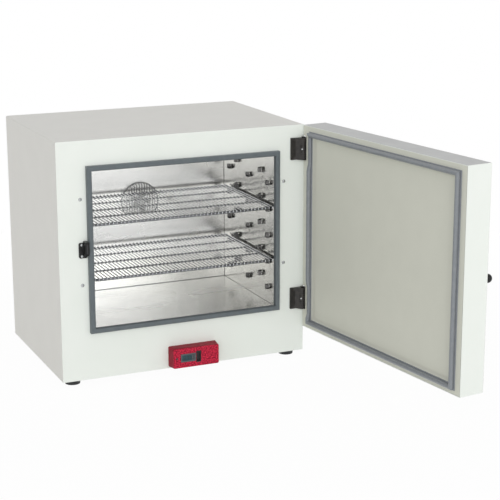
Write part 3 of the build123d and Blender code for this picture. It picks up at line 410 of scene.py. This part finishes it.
def guard_tree(material):
    """The wire guard: parallel bars whose length follows the arch, and the outline behind them."""
    tree, given = new_tree("wire_guard", Arch="Float", Sill="Float", Bars="Int", First_Bar="Vector",
                           Next_Bar="Vector", Front_Top="Vector", Front_Foot="Vector", Bend="Float",
                           Bar_Radius="Float", Bars_Forward="Vector", Outline_Radius="Float",
                           Start="Float", Sweep="Float", Place="Vector")
    line = add(tree, "GeometryNodeMeshLine", {"Count": given["Bars"], "Start Location": given["First Bar"],
                                              "Offset": given["Next Bar"]})
    across = add(tree, "ShaderNodeSeparateXYZ", {0: add(tree, "GeometryNodeInputPosition")})
    arch_square = add(tree, "ShaderNodeMath", {0: given["Arch"], 1: given["Arch"]}, operation="MULTIPLY")
    across_square = add(tree, "ShaderNodeMath", {0: across, 1: across}, operation="MULTIPLY")
    top_square = add(tree, "ShaderNodeMath", {0: arch_square, 1: across_square}, operation="SUBTRACT")
    top = add(tree, "ShaderNodeMath", {0: top_square}, operation="SQRT")
    below = add(tree, "ShaderNodeMath", {0: top, 1: given["Sill"]}, operation="MINIMUM")
    tall = add(tree, "ShaderNodeMath", {0: top, 1: below}, operation="ADD")
    drop = add(tree, "ShaderNodeMath", {0: below, 1: -1.0}, operation="MULTIPLY")
    bar = add(tree, "GeometryNodeCurvePrimitiveQuadrilateral", {
        "Point 1": (0, 0, 1), "Point 2": given["Front Top"], "Point 3": given["Front Foot"],
        "Point 4": (0, 0, 0)}, mode="POINTS")
    bar = add(tree, "GeometryNodeSetSplineCyclic", {"Geometry": bar, "Cyclic": False})
    length = add(tree, "ShaderNodeCombineXYZ", {0: 1.0, 1: 1.0, 2: tall})
    bars = add(tree, "GeometryNodeInstanceOnPoints", {"Points": line, "Instance": bar, "Scale": length})
    bars = add(tree, "GeometryNodeTranslateInstances", {
        "Instances": bars, "Translation": add(tree, "ShaderNodeCombineXYZ", {2: drop}), "Local Space": False})
    bars = add(tree, "GeometryNodeRealizeInstances", {"Geometry": bars})
    bars = add(tree, "GeometryNodeFilletCurve", {"Curve": bars, "Count": 5, "Radius": given["Bend"]},
               mode="POLY")
    bars = wire(tree, bars, given["Bar Radius"], 10)
    bars = add(tree, "GeometryNodeTransform", {"Geometry": bars, "Translation": given["Bars Forward"]})
    arch = add(tree, "GeometryNodeCurveArc", {"Resolution": 60, "Radius": given["Arch"],
                                              "Start Angle": given["Start"], "Sweep Angle": given["Sweep"]})
    arch = add(tree, "GeometryNodeSetSplineCyclic", {"Geometry": arch, "Cyclic": True})
    arch = add(tree, "GeometryNodeTransform", {"Geometry": arch, "Rotation": (pi / 2, 0, 0)})
    close_tree(tree, given["Place"], (bars, material),
               (wire(tree, arch, given["Outline Radius"]), material))
    return tree


guard_outline = 1.2 * mm
guard_arch = 46 * mm
guard_sill = 26.5 * mm
guard_front = -14 * mm
guard_bars = 13
guard_pitch = 6.4 * mm

bright_wire, tree, shader = finish("bright_nickel_wire", "9B9C9D", 0.16, metallic=1.0)
mottle(tree, shader, "7C7D7F", 8, 0.8)
low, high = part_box("fan_guard")
dip = asin(guard_sill / guard_arch)
guard = run_tree("guard_wires", guard_tree(bright_wire), Arch=guard_arch, Sill=guard_sill, Bars=guard_bars,
                 First_Bar=(-guard_pitch * (guard_bars - 1) / 2, 0, 0), Next_Bar=(guard_pitch, 0, 0),
                 Front_Top=(0, guard_front, 1), Front_Foot=(0, guard_front, 0), Bend=4 * mm,
                 Bar_Radius=1.0 * mm, Bars_Forward=(0, -guard_outline, 0), Outline_Radius=guard_outline,
                 Start=-dip, Sweep=pi + 2 * dip,
                 Place=((low.x + high.x) / 2, high.y - guard_outline, high.z - guard_arch - guard_outline))
hand_over(guard, "oven", "fan_guard")

# Stamped aluminium, left bare: pale, and satin from the rolls.
bright_aluminium, tree, shader = finish("stamped_aluminium", "CFCFCC", 0.3, metallic=1.0)
mottle(tree, shader, "BDBDBA", 12)
fair(bright_aluminium, "fan_impeller", "temperature_probe")

# The laminations' cut edges run round the core, so the lacquer over them is finely streaked.
lacquer, tree, shader = finish("lacquered_laminations", "2E3033", 0.45, metallic=0.6)
mottle(tree, shader, "43464A", 3, stretch=(1, 8, 1))
coat(lacquer, "fan_motor")

# ---------------------------------------------------------------------------
# Chamber seams: the side plates are welded into the wrap from inside. Each joint is a fine bead,
# brushed bright, along the floor, the roof and the two upright corners.


def bead_tree(material):
    """A fine round bead along every edge it is given."""
    tree, given = new_tree("weld_bead", Bead_Radius="Float")
    line = add(tree, "GeometryNodeMeshToCurve", {0: given["Geometry"]})
    close_tree(tree, (0, 0, 0), (wire(tree, line, given["Bead Radius"], 10), material))
    return tree


liner_sheet = 1.0 * mm
brushed_bead, tree, shader = finish("brushed_weld", "A9A8A5", 0.3, metallic=1.0)
mottle(tree, shader, "8C8B88", 3)
low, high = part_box("liner_wrap")
deep = high.y - liner_sheet
levels = (low.z + liner_sheet, high.z - liner_sheet)
spots, joints = [], []
for x in (low.x, high.x):
    for start, end in [((x, low.y + liner_sheet, z), (x, deep, z)) for z in levels] + [
            ((x, deep, levels[0]), (x, deep, levels[1]))]:
        joints.append((len(spots), len(spots) + 1))
        spots += [start, end]
beads = run_tree("seam_beads", bead_tree(brushed_bead), spots, joints, Bead_Radius=0.9 * mm)
hand_over(beads, "oven", like="liner_wrap")

# ---------------------------------------------------------------------------
# Wire shelves: a frame of round rod with three cross rods, and close wires welded on top from
# front to back with their ends hooked over the frame. Chrome is a near mirror; the frame and
# cross rods take a much darker copy of it than the wires, painted shade and dark reflection,
# and both drift greyer in patches.


def shelf_tree(rods_finish, wires_finish):
    """The wire shelf, with each close wire a hair out of line as a welding jig leaves it."""
    tree, given = new_tree("wire_shelf", Width="Float", Depth="Float", Frame_Radius="Float",
                           Bend="Float", Rods="Int", Rod_Radius="Float", Rod_Start="Vector",
                           Rod_End="Vector", First_Rod="Vector", Next_Rod="Vector", Wires="Int",
                           Wire_Radius="Float", First_Wire="Vector", Next_Wire="Vector",
                           Spot_1="Vector", Spot_2="Vector", Spot_3="Vector", Spot_4="Vector",
                           Hook_Bend="Float", Least_Stray="Vector", Most_Stray="Vector", Place="Vector")
    outline = add(tree, "GeometryNodeCurvePrimitiveQuadrilateral", {"Width": given["Width"],
                                                                    "Height": given["Depth"]})
    outline = add(tree, "GeometryNodeFilletCurve", {"Curve": outline, "Count": 8, "Radius": given["Bend"]},
                  mode="POLY")
    rod = add(tree, "GeometryNodeCurvePrimitiveLine", {"Start": given["Rod Start"], "End": given["Rod End"]})
    rods = add(tree, "GeometryNodeMeshLine", {"Count": given["Rods"], "Start Location": given["First Rod"],
                                              "Offset": given["Next Rod"]})
    rods = add(tree, "GeometryNodeInstanceOnPoints", {"Points": rods, "Instance": rod})
    rods = add(tree, "GeometryNodeRealizeInstances", {"Geometry": rods})
    hooked = add(tree, "GeometryNodeCurvePrimitiveQuadrilateral", {
        f"Point {i}": given[f"Spot {i}"] for i in range(1, 5)}, mode="POINTS")
    hooked = add(tree, "GeometryNodeSetSplineCyclic", {"Geometry": hooked, "Cyclic": False})
    hooked = add(tree, "GeometryNodeFilletCurve", {"Curve": hooked, "Count": 4,
                                                   "Radius": given["Hook Bend"]}, mode="POLY")
    wires = add(tree, "GeometryNodeMeshLine", {"Count": given["Wires"], "Offset": given["Next Wire"],
                                               "Start Location": given["First Wire"]})
    stray = add(tree, "FunctionNodeRandomValue", {0: given["Least Stray"], 1: given["Most Stray"],
                                                  "Seed": 4}, data_type="FLOAT_VECTOR")
    wires = add(tree, "GeometryNodeSetPosition", {"Geometry": wires, "Offset": stray})
    wires = add(tree, "GeometryNodeInstanceOnPoints", {"Points": wires, "Instance": hooked})
    wires = add(tree, "GeometryNodeRealizeInstances", {"Geometry": wires})
    close_tree(tree, given["Place"], (wire(tree, outline, given["Frame Radius"], 20), rods_finish),
               (wire(tree, rods, given["Rod Radius"], 16), rods_finish),
               (wire(tree, wires, given["Wire Radius"], 12), wires_finish))
    return tree


rail_radius = 3 * mm
rod_radius = 2 * mm
rod_count = 3
wire_radius = 1.25 * mm
wire_pitch = 8.75 * mm
hook_drop = 4.5 * mm
wire_stray = 0.3 * mm

# The rods' chrome is far darker than the wires': painted shade and dark reflection.
shaded_rod_chrome, tree, shader = finish("chromed_rod", "76787B", 0.16, metallic=1.0)
mottle(tree, shader, "5A5C5F", 10, 0.7)
uneven_gloss(tree, shader, 0.1, 0.24, 7)
wire_chrome, tree, shader = finish("chromed_wire", "D4D5D7", 0.1, metallic=1.0)
mottle(tree, shader, "A9ABAE", 6, 0.7)
uneven_gloss(tree, shader, 0.06, 0.16, 5)
shelf_nodes = shelf_tree(shaded_rod_chrome, wire_chrome)
for node in ("upper_shelf", "lower_shelf"):
    low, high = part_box(node)
    width, depth = high.x - low.x - 2 * rail_radius, high.y - low.y - 2 * rail_radius
    inner, gap = width / 2 - rail_radius, depth / (rod_count + 1)
    wires = round(width / wire_pitch) + 1
    reach = depth / 2 + rail_radius + wire_radius
    rack = run_tree(f"{node}_wires", shelf_nodes, Width=width, Depth=depth, Frame_Radius=rail_radius,
                    Bend=9 * mm, Rods=rod_count, Rod_Radius=rod_radius, Rod_Start=(-inner, 0, 0),
                    Rod_End=(inner, 0, 0), First_Rod=(0, gap - depth / 2, rail_radius - rod_radius),
                    Next_Rod=(0, gap, 0), Wires=wires, Wire_Radius=wire_radius,
                    First_Wire=(-width / 2, 0, rail_radius + wire_radius),
                    Next_Wire=(width / (wires - 1), 0, 0), Spot_1=(0, -reach, -hook_drop),
                    Spot_2=(0, -reach, 0), Spot_3=(0, reach, 0), Spot_4=(0, reach, -hook_drop),
                    Hook_Bend=2.5 * mm, Least_Stray=(-wire_stray, 0, 0), Most_Stray=(wire_stray, 0, 0),
                    Place=((low.x + high.x) / 2, (low.y + high.y) / 2, low.z + rail_radius))
    hand_over(rack, node, node)

# ---------------------------------------------------------------------------
# Electrics in the bay: a board on posts, its relay, a thermal cut-out and the mains inlet. Glass
# laminate is a glossy deep green, nylon a milky white and phenolic a dull black with a fine skin.
# Zinc plate is a cool bright grey that turns blotchy.

laminate, tree, shader = finish("glass_epoxy_board", "1F5A36", 0.4)
mottle(tree, shader, "184A2C", 8)
coat(laminate, "power_board")

nylon, tree, shader = finish("natural_nylon", "D5D2C6", 0.45)
mottle(tree, shader, "C8C4B6", 6)
coat(nylon, "board_posts")

phenolic, tree, shader = finish("black_phenolic", "1B1A1A", 0.38)
mottle(tree, shader, "262525", 5)
relief(tree, shader, 0.9, 0.02)
coat(phenolic, "solid_state_relay", "safety_cutout", "display_module")
fair(phenolic, "power_inlet", "rocker_frame")

plated, tree, shader = finish("bright_zinc_plate", "C3C5C6", 0.25, metallic=1.0)
mottle(tree, shader, "A9ABAC", 4, 0.8)
coat(plated, "inlet_pins")

# ---------------------------------------------------------------------------
# Controller housing: moulded in red ABS. Its face has a coarse spark texture that catches the
# light, and the faces that turn away from the front take a deeper red: painted shade on its chamfers and
# sides.

red_abs, tree, shader = finish("red_abs", "E03350", 0.6, specular_ior_level=0.15)
mottle(tree, shader, "761026", 3.0, 1.0, detail=0.5)
relief(tree, shader, 2.2, 0.2)
shaded_abs, tree, shader = finish("red_abs_chamfers", "9C1A31", 0.45, specular_ior_level=0.15)
mottle(tree, shader, "7A1224", 6)
# Every face of the housing that does not face the front takes the deeper red: painted shade.
edge_faces(fair(red_abs, "controller_housing")[0], shaded_abs, Vector((0, -1, 0)), 0.98, below=True)

# ---------------------------------------------------------------------------
# Display: a grey bezel round a tinted window, with two small keys beside it. Moulded ABS and key
# rubber are matt, and the acrylic window is smoked, with a satin face that hides reflections.

grey_abs, tree, shader = finish("grey_abs", "565B5F", 0.45)
mottle(tree, shader, "4C5155", 4)
relief(tree, shader, 0.8, 0.02)
fair(grey_abs, "display_bezel")

window, tree, shader = finish("tinted_acrylic", "35525A", 0.3, specular_ior_level=0.2)
mottle(tree, shader, "2C464D", 5)
coat(window, "display_window")

# The display's segments are dark liquid crystal behind the window, smooth and almost black.
segments_ink, tree, shader = finish("liquid_crystal_segments", "0C1518", 0.3)
mottle(tree, shader, "152226", 1)

digit_height = 7.6 * mm
digit_width = 3.9 * mm
digit_pitch = 6.0 * mm
segment_half = 0.55 * mm
segment_proud = 0.12 * mm
digit_lean = 0.12
lit_segments = {"3": "abcdg", "7": "abc", "0": "abcdef"}


def digit_segments(shown):
    """The ends of each dark segment of a digit, seen from the front with its foot at 0, 0."""
    top, half, right = digit_height, digit_height / 2, digit_width
    ends = {"a": ((0, top), (right, top)), "b": ((right, top), (right, half)),
            "c": ((right, half), (right, 0)), "d": ((0, 0), (right, 0)), "e": ((0, half), (0, 0)),
            "f": ((0, top), (0, half)), "g": ((0, half), (right, half))}
    return [ends[letter] for letter in lit_segments[shown]]


low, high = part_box("display_window")
grid = bmesh.new()
start_x = (low.x + high.x) / 2 - (2 * digit_pitch + digit_width) / 2
foot_z = (low.z + high.z) / 2 - digit_height / 2
strokes = [(start_x + place * digit_pitch, stroke) for place, shown in enumerate("370")
           for stroke in digit_segments(shown)]
strokes.append((start_x + 2 * digit_pitch - 1.4 * mm, ((0, 0), (0.1 * mm, 0))))
for left, ((x0, z0), (x1, z1)) in strokes:
    along = Vector((x1 - x0, z1 - z0)).normalized()
    gap = segment_half * 0.35 if Vector((x1 - x0, z1 - z0)).length > mm else -segment_half
    outline = []
    for way, (x, z) in ((1, (x0, z0)), (-1, (x1, z1))):
        tip = Vector((x, z)) + along * way * gap
        side = Vector((-along.y, along.x)) * segment_half * way
        shoulder = tip + along * way * segment_half
        outline += [shoulder - side, tip, shoulder + side]
    for depth in (low.y - segment_proud, low.y + segment_proud):
        outline_verts = [grid.verts.new((left + spot.x + digit_lean * spot.y, depth, foot_z + spot.y))
                         for spot in outline]
        grid.faces.new(outline_verts)
    front, back = list(grid.verts)[-12:-6], list(grid.verts)[-6:]
    for k in range(6):
        grid.faces.new((front[k], front[(k + 1) % 6], back[(k + 1) % 6], back[k]))
bmesh.ops.recalc_face_normals(grid, faces=grid.faces)
digits_mesh = bpy.data.meshes.new("display_digits")
grid.to_mesh(digits_mesh)
grid.free()
digits_mesh.materials.append(segments_ink)
digits = bpy.data.objects.new("display_digits", digits_mesh)
bpy.context.collection.objects.link(digits)
hand_over(digits, "oven", like="display_window")

key_cap, tree, shader = finish("dark_key_rubber", "3A3D40", 0.5)
mottle(tree, shader, "45484B", 3)
fair(key_cap, "key_up", "key_down")

# ---------------------------------------------------------------------------
# Rocker switch and lamp: moulded black nylon, half glossy, and a small smoked lens that is
# clear and shiny but dark inside.

rocker_black, tree, shader = finish("black_nylon", "0E0E0F", 0.32, specular_ior_level=0.3)
mottle(tree, shader, "161617", 4)
fair(rocker_black, "power_rocker")

lens, tree, shader = finish("smoked_lens", "2A1216", 0.15, coat_weight=0.5)
mottle(tree, shader, "3A1A1E", 2)
fair(lens, "indicator_lamp")

# ---------------------------------------------------------------------------
# Catch: a moulded black body on the frame's left, with its magnet set in a slot.

fair(rocker_black, "catch_body", sharp=25)

# Ground ferrite is a dull dark grey, with grains just coarse enough to see.
ferrite, tree, shader = finish("ground_ferrite", "3B3B3D", 0.45, metallic=0.4)
mottle(tree, shader, "2C2C2E", 2)
coat(ferrite, "catch_magnet")

# ---------------------------------------------------------------------------
# Hinges: steel leaves rolled round a pin and coated black. The coat is satin and drifts to a
# browner black in patches.

black_coat, tree, shader = finish("black_coated_steel", "242322", 0.34, metallic=0.3)
mottle(tree, shader, "35322F", 9)
relief(tree, shader, 1.4, 0.02)
fair(black_coat, "frame_leaf_lower", "frame_leaf_upper", "door_leaf_lower", "door_leaf_upper",
     "hinge_pins", "hinge_screws")
fair(plated, "door_leaf_screws")
coat(plated, "knob_screw")

# ---------------------------------------------------------------------------
# Door: a white-coated outer tray and a pressed inner panel in a pale grey coat. The tray's
# upward faces take a greyer copy of the white coat: painted shade, so its top lies darker.

shaded_top_coat, tree, shader = finish("powder_coat_thin", "C2C3C2", 0.42, specular_ior_level=0.4)
mottle(tree, shader, "B7B8B8", 50, 0.8)
# The door skin's upward faces get the greyer copy of the coat: painted shade.
edge_faces(fair(front_coat, "door_outer_skin")[0], shaded_top_coat, Vector((0, 0, 1)), 0.95)

panel_coat, tree, shader = finish("powder_coat_stone_grey", "D8D9CD", 0.5)
mottle(tree, shader, "D5D6CA", 50, 0.8)
relief(tree, shader, 3.0, 0.03)
fair(panel_coat, "door_inner_panel")

# ---------------------------------------------------------------------------
# Door knob: moulded in the same black nylon as the rocker, and screwed on from inside the door.

fair(rocker_black, "door_knob")

# ---------------------------------------------------------------------------
# Door gasket: a hollow silicone bulb on a flat foot, cut into four runs with mitred corners. It is
# stuck round the inner panel, and pressed low where it crosses the hinge leaves.

hinge = [j for j in frame["joints"] if j["name"] == "door_hinge"][0]
pivot = Matrix.Translation(Vector(hinge["pos_m"]))
swing = pivot @ Matrix.Rotation(radians(-hinge["range_deg"][0]), 4, "Z") @ pivot.inverted()


def box_when_shut(node):
    """The lowest and highest corner of a door node with the door shut."""
    spots = [swing.inverted() @ v.co for v in frame["nodes"][node].data.vertices]
    return [Vector([pick(s[i] for s in spots) for i in range(3)]) for pick in (min, max)]


foot_thickness = 1.8 * mm
foot_width = 13.5 * mm
bulb_steps = 20
dip_blend = 9 * mm
dip_share = 0.605

low, high = box_when_shut("door_gasket")
proud = high.y - low.y
leaves = [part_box(n) for n in ("frame_leaf_lower", "frame_leaf_upper")]


def gasket_outline():
    """The section: across the foot from the outer side, and up to the bulb's crest."""
    radius = (proud - foot_thickness * 0.4) / 2
    points = [(0, 0), (0, foot_thickness * 0.5), (foot_thickness * 0.7, foot_thickness)]
    for i in range(bulb_steps + 1):
        turn = radians(-50 + 280 * i / bulb_steps)
        points.append((foot_width / 2 - radius * 0.96 * cos(turn), proud - radius + radius * sin(turn)))
    points += [(foot_width - foot_thickness * 0.7, foot_thickness), (foot_width, foot_thickness * 0.5),
               (foot_width, 0)]
    return points


def crest_share(spot):
    """How much of the bulb's height is left at a place along the run by the hinges."""
    share = 1.0
    for below, above in leaves:
        reach = (above.z - below.z) / 2 + step_length
        away = abs(spot - (above.z + below.z) / 2) - reach
        ease = min(max(away / dip_blend, 0), 1)
        share = min(share, dip_share + (1 - dip_share) * ease * ease * (3 - 2 * ease))
    return share


bulb_silicone, tree, shader = finish("pale_silicone", "85898E", 0.3, sheen_weight=0.1)
mottle(tree, shader, "7A7F85", 9, 0.8)
relief(tree, shader, 3.5, 0.05)
bulb_mesh = swept_runs("gasket_runs", gasket_outline(), low, high, low.y, 1, 0.45 * mm, crest_share)
bulb_mesh.transform(swing)
lay("gasket_runs", bulb_mesh, bulb_silicone, 40, "door", "door_gasket")

# ---------------------------------------------------------------------------
# Screws: pan heads with a pressed cross recess, in bright zinc plate. Geometry Nodes cut the
# recess into one head and stand it at each place.

head_facets = 32
cross_width = 0.16
cross_span = 0.62


def fasteners(node):
    """Each screw of a node as its seat, the way it points out, its head's radius and its length."""
    grid = bmesh.new()
    grid.from_mesh(frame["nodes"][node].data)
    bmesh.ops.remove_doubles(grid, verts=grid.verts, dist=0.002 * mm)
    taken = set()
    found = []
    for first in grid.verts:
        if first in taken:
            continue
        taken.add(first)
        island, edge = [], [first]
        while edge:
            spot = edge.pop()
            island.append(spot)
            for link in spot.link_edges:
                other = link.other_vert(spot)
                if other not in taken:
                    taken.add(other)
                    edge.append(other)
        points = [v.co.copy() for v in island]
        lowest = Vector([min(p[i] for p in points) for i in range(3)])
        highest = Vector([max(p[i] for p in points) for i in range(3)])
        size, centre = highest - lowest, (highest + lowest) / 2
        along = max(range(3), key=lambda i: size[i])
        across = (along + 1) % 3
        wide = [p[along] for p in points if abs(p[across] - centre[across]) > size[across] * 0.499]
        out = 1 if sum(wide) / len(wide) > centre[along] else -1
        seat = centre.copy()
        seat[along] = min(wide, key=lambda w: w * out)
        tip = (lowest if out > 0 else highest)[along]
        heading = Vector([out if i == along else 0 for i in range(3)])
        found.append((seat, heading, size[across] / 2, abs(seat[along] - tip)))
    grid.free()
    return found


def screw_tree(material):
    """The node tree that makes one cross-recessed screw and stands it at every point."""
    tree, given = new_tree("cross_recessed_screw", Head_Radius="Float", Head_Height="Float",
                           Shank_Radius="Float", Shank_Length="Float", Turn="Vector")
    radius, height = given["Head Radius"], given["Head Height"]
    wide, long, slim = [add(tree, "ShaderNodeMath", {0: radius, 1: share}, operation="MULTIPLY")
                        for share in (3.0, 2 * cross_span, 2 * cross_width)]
    tall, deep, down = [add(tree, "ShaderNodeMath", {0: height, 1: share}, operation="MULTIPLY")
                        for share in (2.0, 1.1, -1.0)]
    dome = add(tree, "ShaderNodeCombineXYZ", {0: radius, 1: radius, 2: height})
    head = add(tree, "GeometryNodeMeshUVSphere", {"Segments": head_facets, "Rings": 16, "Radius": 1.0})
    head = add(tree, "GeometryNodeTransform", {"Geometry": head, "Scale": dome})
    for size, lift in (((wide, wide, tall), down), ((long, slim, deep), height),
                       ((slim, long, deep), height)):
        size = add(tree, "ShaderNodeCombineXYZ", dict(enumerate(size)))
        lift = add(tree, "ShaderNodeCombineXYZ", {2: lift})
        cut = add(tree, "GeometryNodeMeshCube", {"Size": size})
        cut = add(tree, "GeometryNodeTransform", {"Geometry": cut, "Translation": lift})
        head = add(tree, "GeometryNodeMeshBoolean", {"Mesh 1": head, "Mesh 2": cut}, operation="DIFFERENCE")
    half_down = add(tree, "ShaderNodeMath", {0: given["Shank Length"], 1: -0.5}, operation="MULTIPLY")
    half_down = add(tree, "ShaderNodeCombineXYZ", {2: half_down})
    shank = add(tree, "GeometryNodeMeshCylinder", {"Vertices": 16, "Radius": given["Shank Radius"],
                                                   "Depth": given["Shank Length"]})
    shank = add(tree, "GeometryNodeTransform", {"Geometry": shank, "Translation": half_down})
    whole = add(tree, "GeometryNodeJoinGeometry")
    for part in (head, shank):
        tree.links.new(part.outputs[0], whole.inputs[0])
    stood = add(tree, "GeometryNodeInstanceOnPoints", {"Points": given["Geometry"], "Instance": whole,
                                                       "Rotation": given["Turn"]})
    close_tree(tree, (0, 0, 0), (stood, material))
    return tree


screw_nodes = screw_tree(plated)
turns = {(0, -1, 0): (pi / 2, 0, 0), (0, 1, 0): (-pi / 2, 0, 0), (0, 0, -1): (pi, 0, 0),
         (0, 0, 1): (0, 0, 0)}
for node, shank_radius, head_height in (("case_screws", 2 * mm, 2.4 * mm),
                                        ("small_screws", 1.6 * mm, 2 * mm)):
    groups = {}
    for seat, heading, radius, length in fasteners(node):
        groups.setdefault((tuple(round(h) for h in heading), round(length, 4)), []).append((seat, radius))
    for number, ((heading, length), seats) in enumerate(sorted(groups.items())):
        screws = run_tree(f"{node}_{number}", screw_nodes, [seat for seat, _ in seats],
                          Head_Radius=seats[0][1], Head_Height=head_height, Shank_Radius=shank_radius,
                          Shank_Length=length, Turn=turns[heading])
        hand_over(screws, "oven", node)

# ---------------------------------------------------------------------------
# Studio: a pale floor, an even white surround and two broad lamps near the camera. The floor
# brightens to white away from the casing, and polished metal sees it a little brighter.


def seen_or_mirrored(tree):
    """1 for what the camera sees directly, in a mirror or through glass, and 0 for light that falls."""
    path = add(tree, "ShaderNodeLightPath").outputs
    mirrored = add(tree, "ShaderNodeMath", {0: path["Is Glossy Ray"], 1: path["Is Transmission Ray"]},
                   operation="MAXIMUM")
    return add(tree, "ShaderNodeMath", {0: path["Is Camera Ray"], 1: mirrored}, operation="MAXIMUM")


floor_size = 40.0
floor_mesh = bpy.data.meshes.new("floor")
half = floor_size / 2
floor_mesh.from_pydata([(-half, -half, 0), (half, -half, 0), (half, half, 0), (-half, half, 0)], [],
                       [(0, 1, 2, 3)])
floor = bpy.data.objects.new("floor", floor_mesh)
bpy.context.collection.objects.link(floor)
floor_paint, tree, shader = finish("studio_floor", "F2F2F0", 0.9)
mirrored = add(tree, "ShaderNodeLightPath").outputs["Is Glossy Ray"]
lit = add(tree, "ShaderNodeMapRange", {"Value": mirrored, "To Min": 1.0, "To Max": 1.25})
glow = add(tree, "ShaderNodeEmission", {"Color": linear("FFFFFF"), "Strength": lit})
place = add(tree, "ShaderNodeTexCoord").outputs["Object"]
away = add(tree, "ShaderNodeVectorMath", {0: place}, operation="LENGTH").outputs["Value"]
share = add(tree, "ShaderNodeMapRange", {"Value": away, "From Min": 0.6, "From Max": 1.6, "To Min": 0.965,
                                         "To Max": 1.0}, interpolation_type="SMOOTHSTEP")
seen = add(tree, "ShaderNodeMath", {0: seen_or_mirrored(tree), 1: share}, operation="MULTIPLY")
blend = add(tree, "ShaderNodeMixShader", {0: seen, 1: shader, 2: glow})
output = [n for n in tree.nodes if n.bl_idname == "ShaderNodeOutputMaterial"][0]
tree.links.new(blend.outputs[0], output.inputs["Surface"])
floor_mesh.materials.append(floor_paint)

world = bpy.data.worlds.new("surround")
bpy.context.scene.world = world
world.use_nodes = True
tree = world.node_tree
tree.nodes.clear()
strength = add(tree, "ShaderNodeMapRange", {"Value": seen_or_mirrored(tree), "To Min": 0.63, "To Max": 1.0})
surround = add(tree, "ShaderNodeBackground", {"Color": linear("FFFFFF"), "Strength": strength})
add(tree, "ShaderNodeOutputWorld", {"Surface": surround})

casing = Matrix.Translation(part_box("front_frame")[0])
eye = casing @ Vector((-0.83962, -2.89277, 1.05049))
yaw, pitch, roll = radians(23.96), radians(14.14), radians(-0.104)
aim = Matrix.Rotation(-yaw, 3, "Z") @ Matrix.Rotation(pi / 2 - pitch, 3, "X") @ Matrix.Rotation(roll, 3, "Z")
camera_data = bpy.data.cameras.new("camera")
camera_data.sensor_width = 36
camera_data.lens = 104.01
camera = bpy.data.objects.new("camera", camera_data)
camera.location = eye
camera.rotation_euler = aim.to_euler()
bpy.context.collection.objects.link(camera)
bpy.context.scene.camera = camera


def soft_lamp(name, place, watts, mirrored):
    """A broad round lamp aimed at the casing, and whether polished metal shows it."""
    lamp_data = bpy.data.lights.new(name, "AREA")
    lamp_data.shape = "DISK"
    lamp_data.size = 4.4
    lamp_data.energy = watts
    lamp = bpy.data.objects.new(name, lamp_data)
    lamp.location = casing @ Vector(place)
    facing = casing @ Vector((0.3, 0, 0.25)) - lamp.location
    lamp.rotation_euler = facing.to_track_quat("-Z", "Y").to_euler()
    lamp.visible_glossy = mirrored
    bpy.context.collection.objects.link(lamp)


soft_lamp("key_lamp", (-1.7, -6.0, 1.7), 118, False)
soft_lamp("fill_lamp", (0.5, -6.0, 2.2), 42, True)

bpy.context.scene.view_settings.view_transform = "Standard"
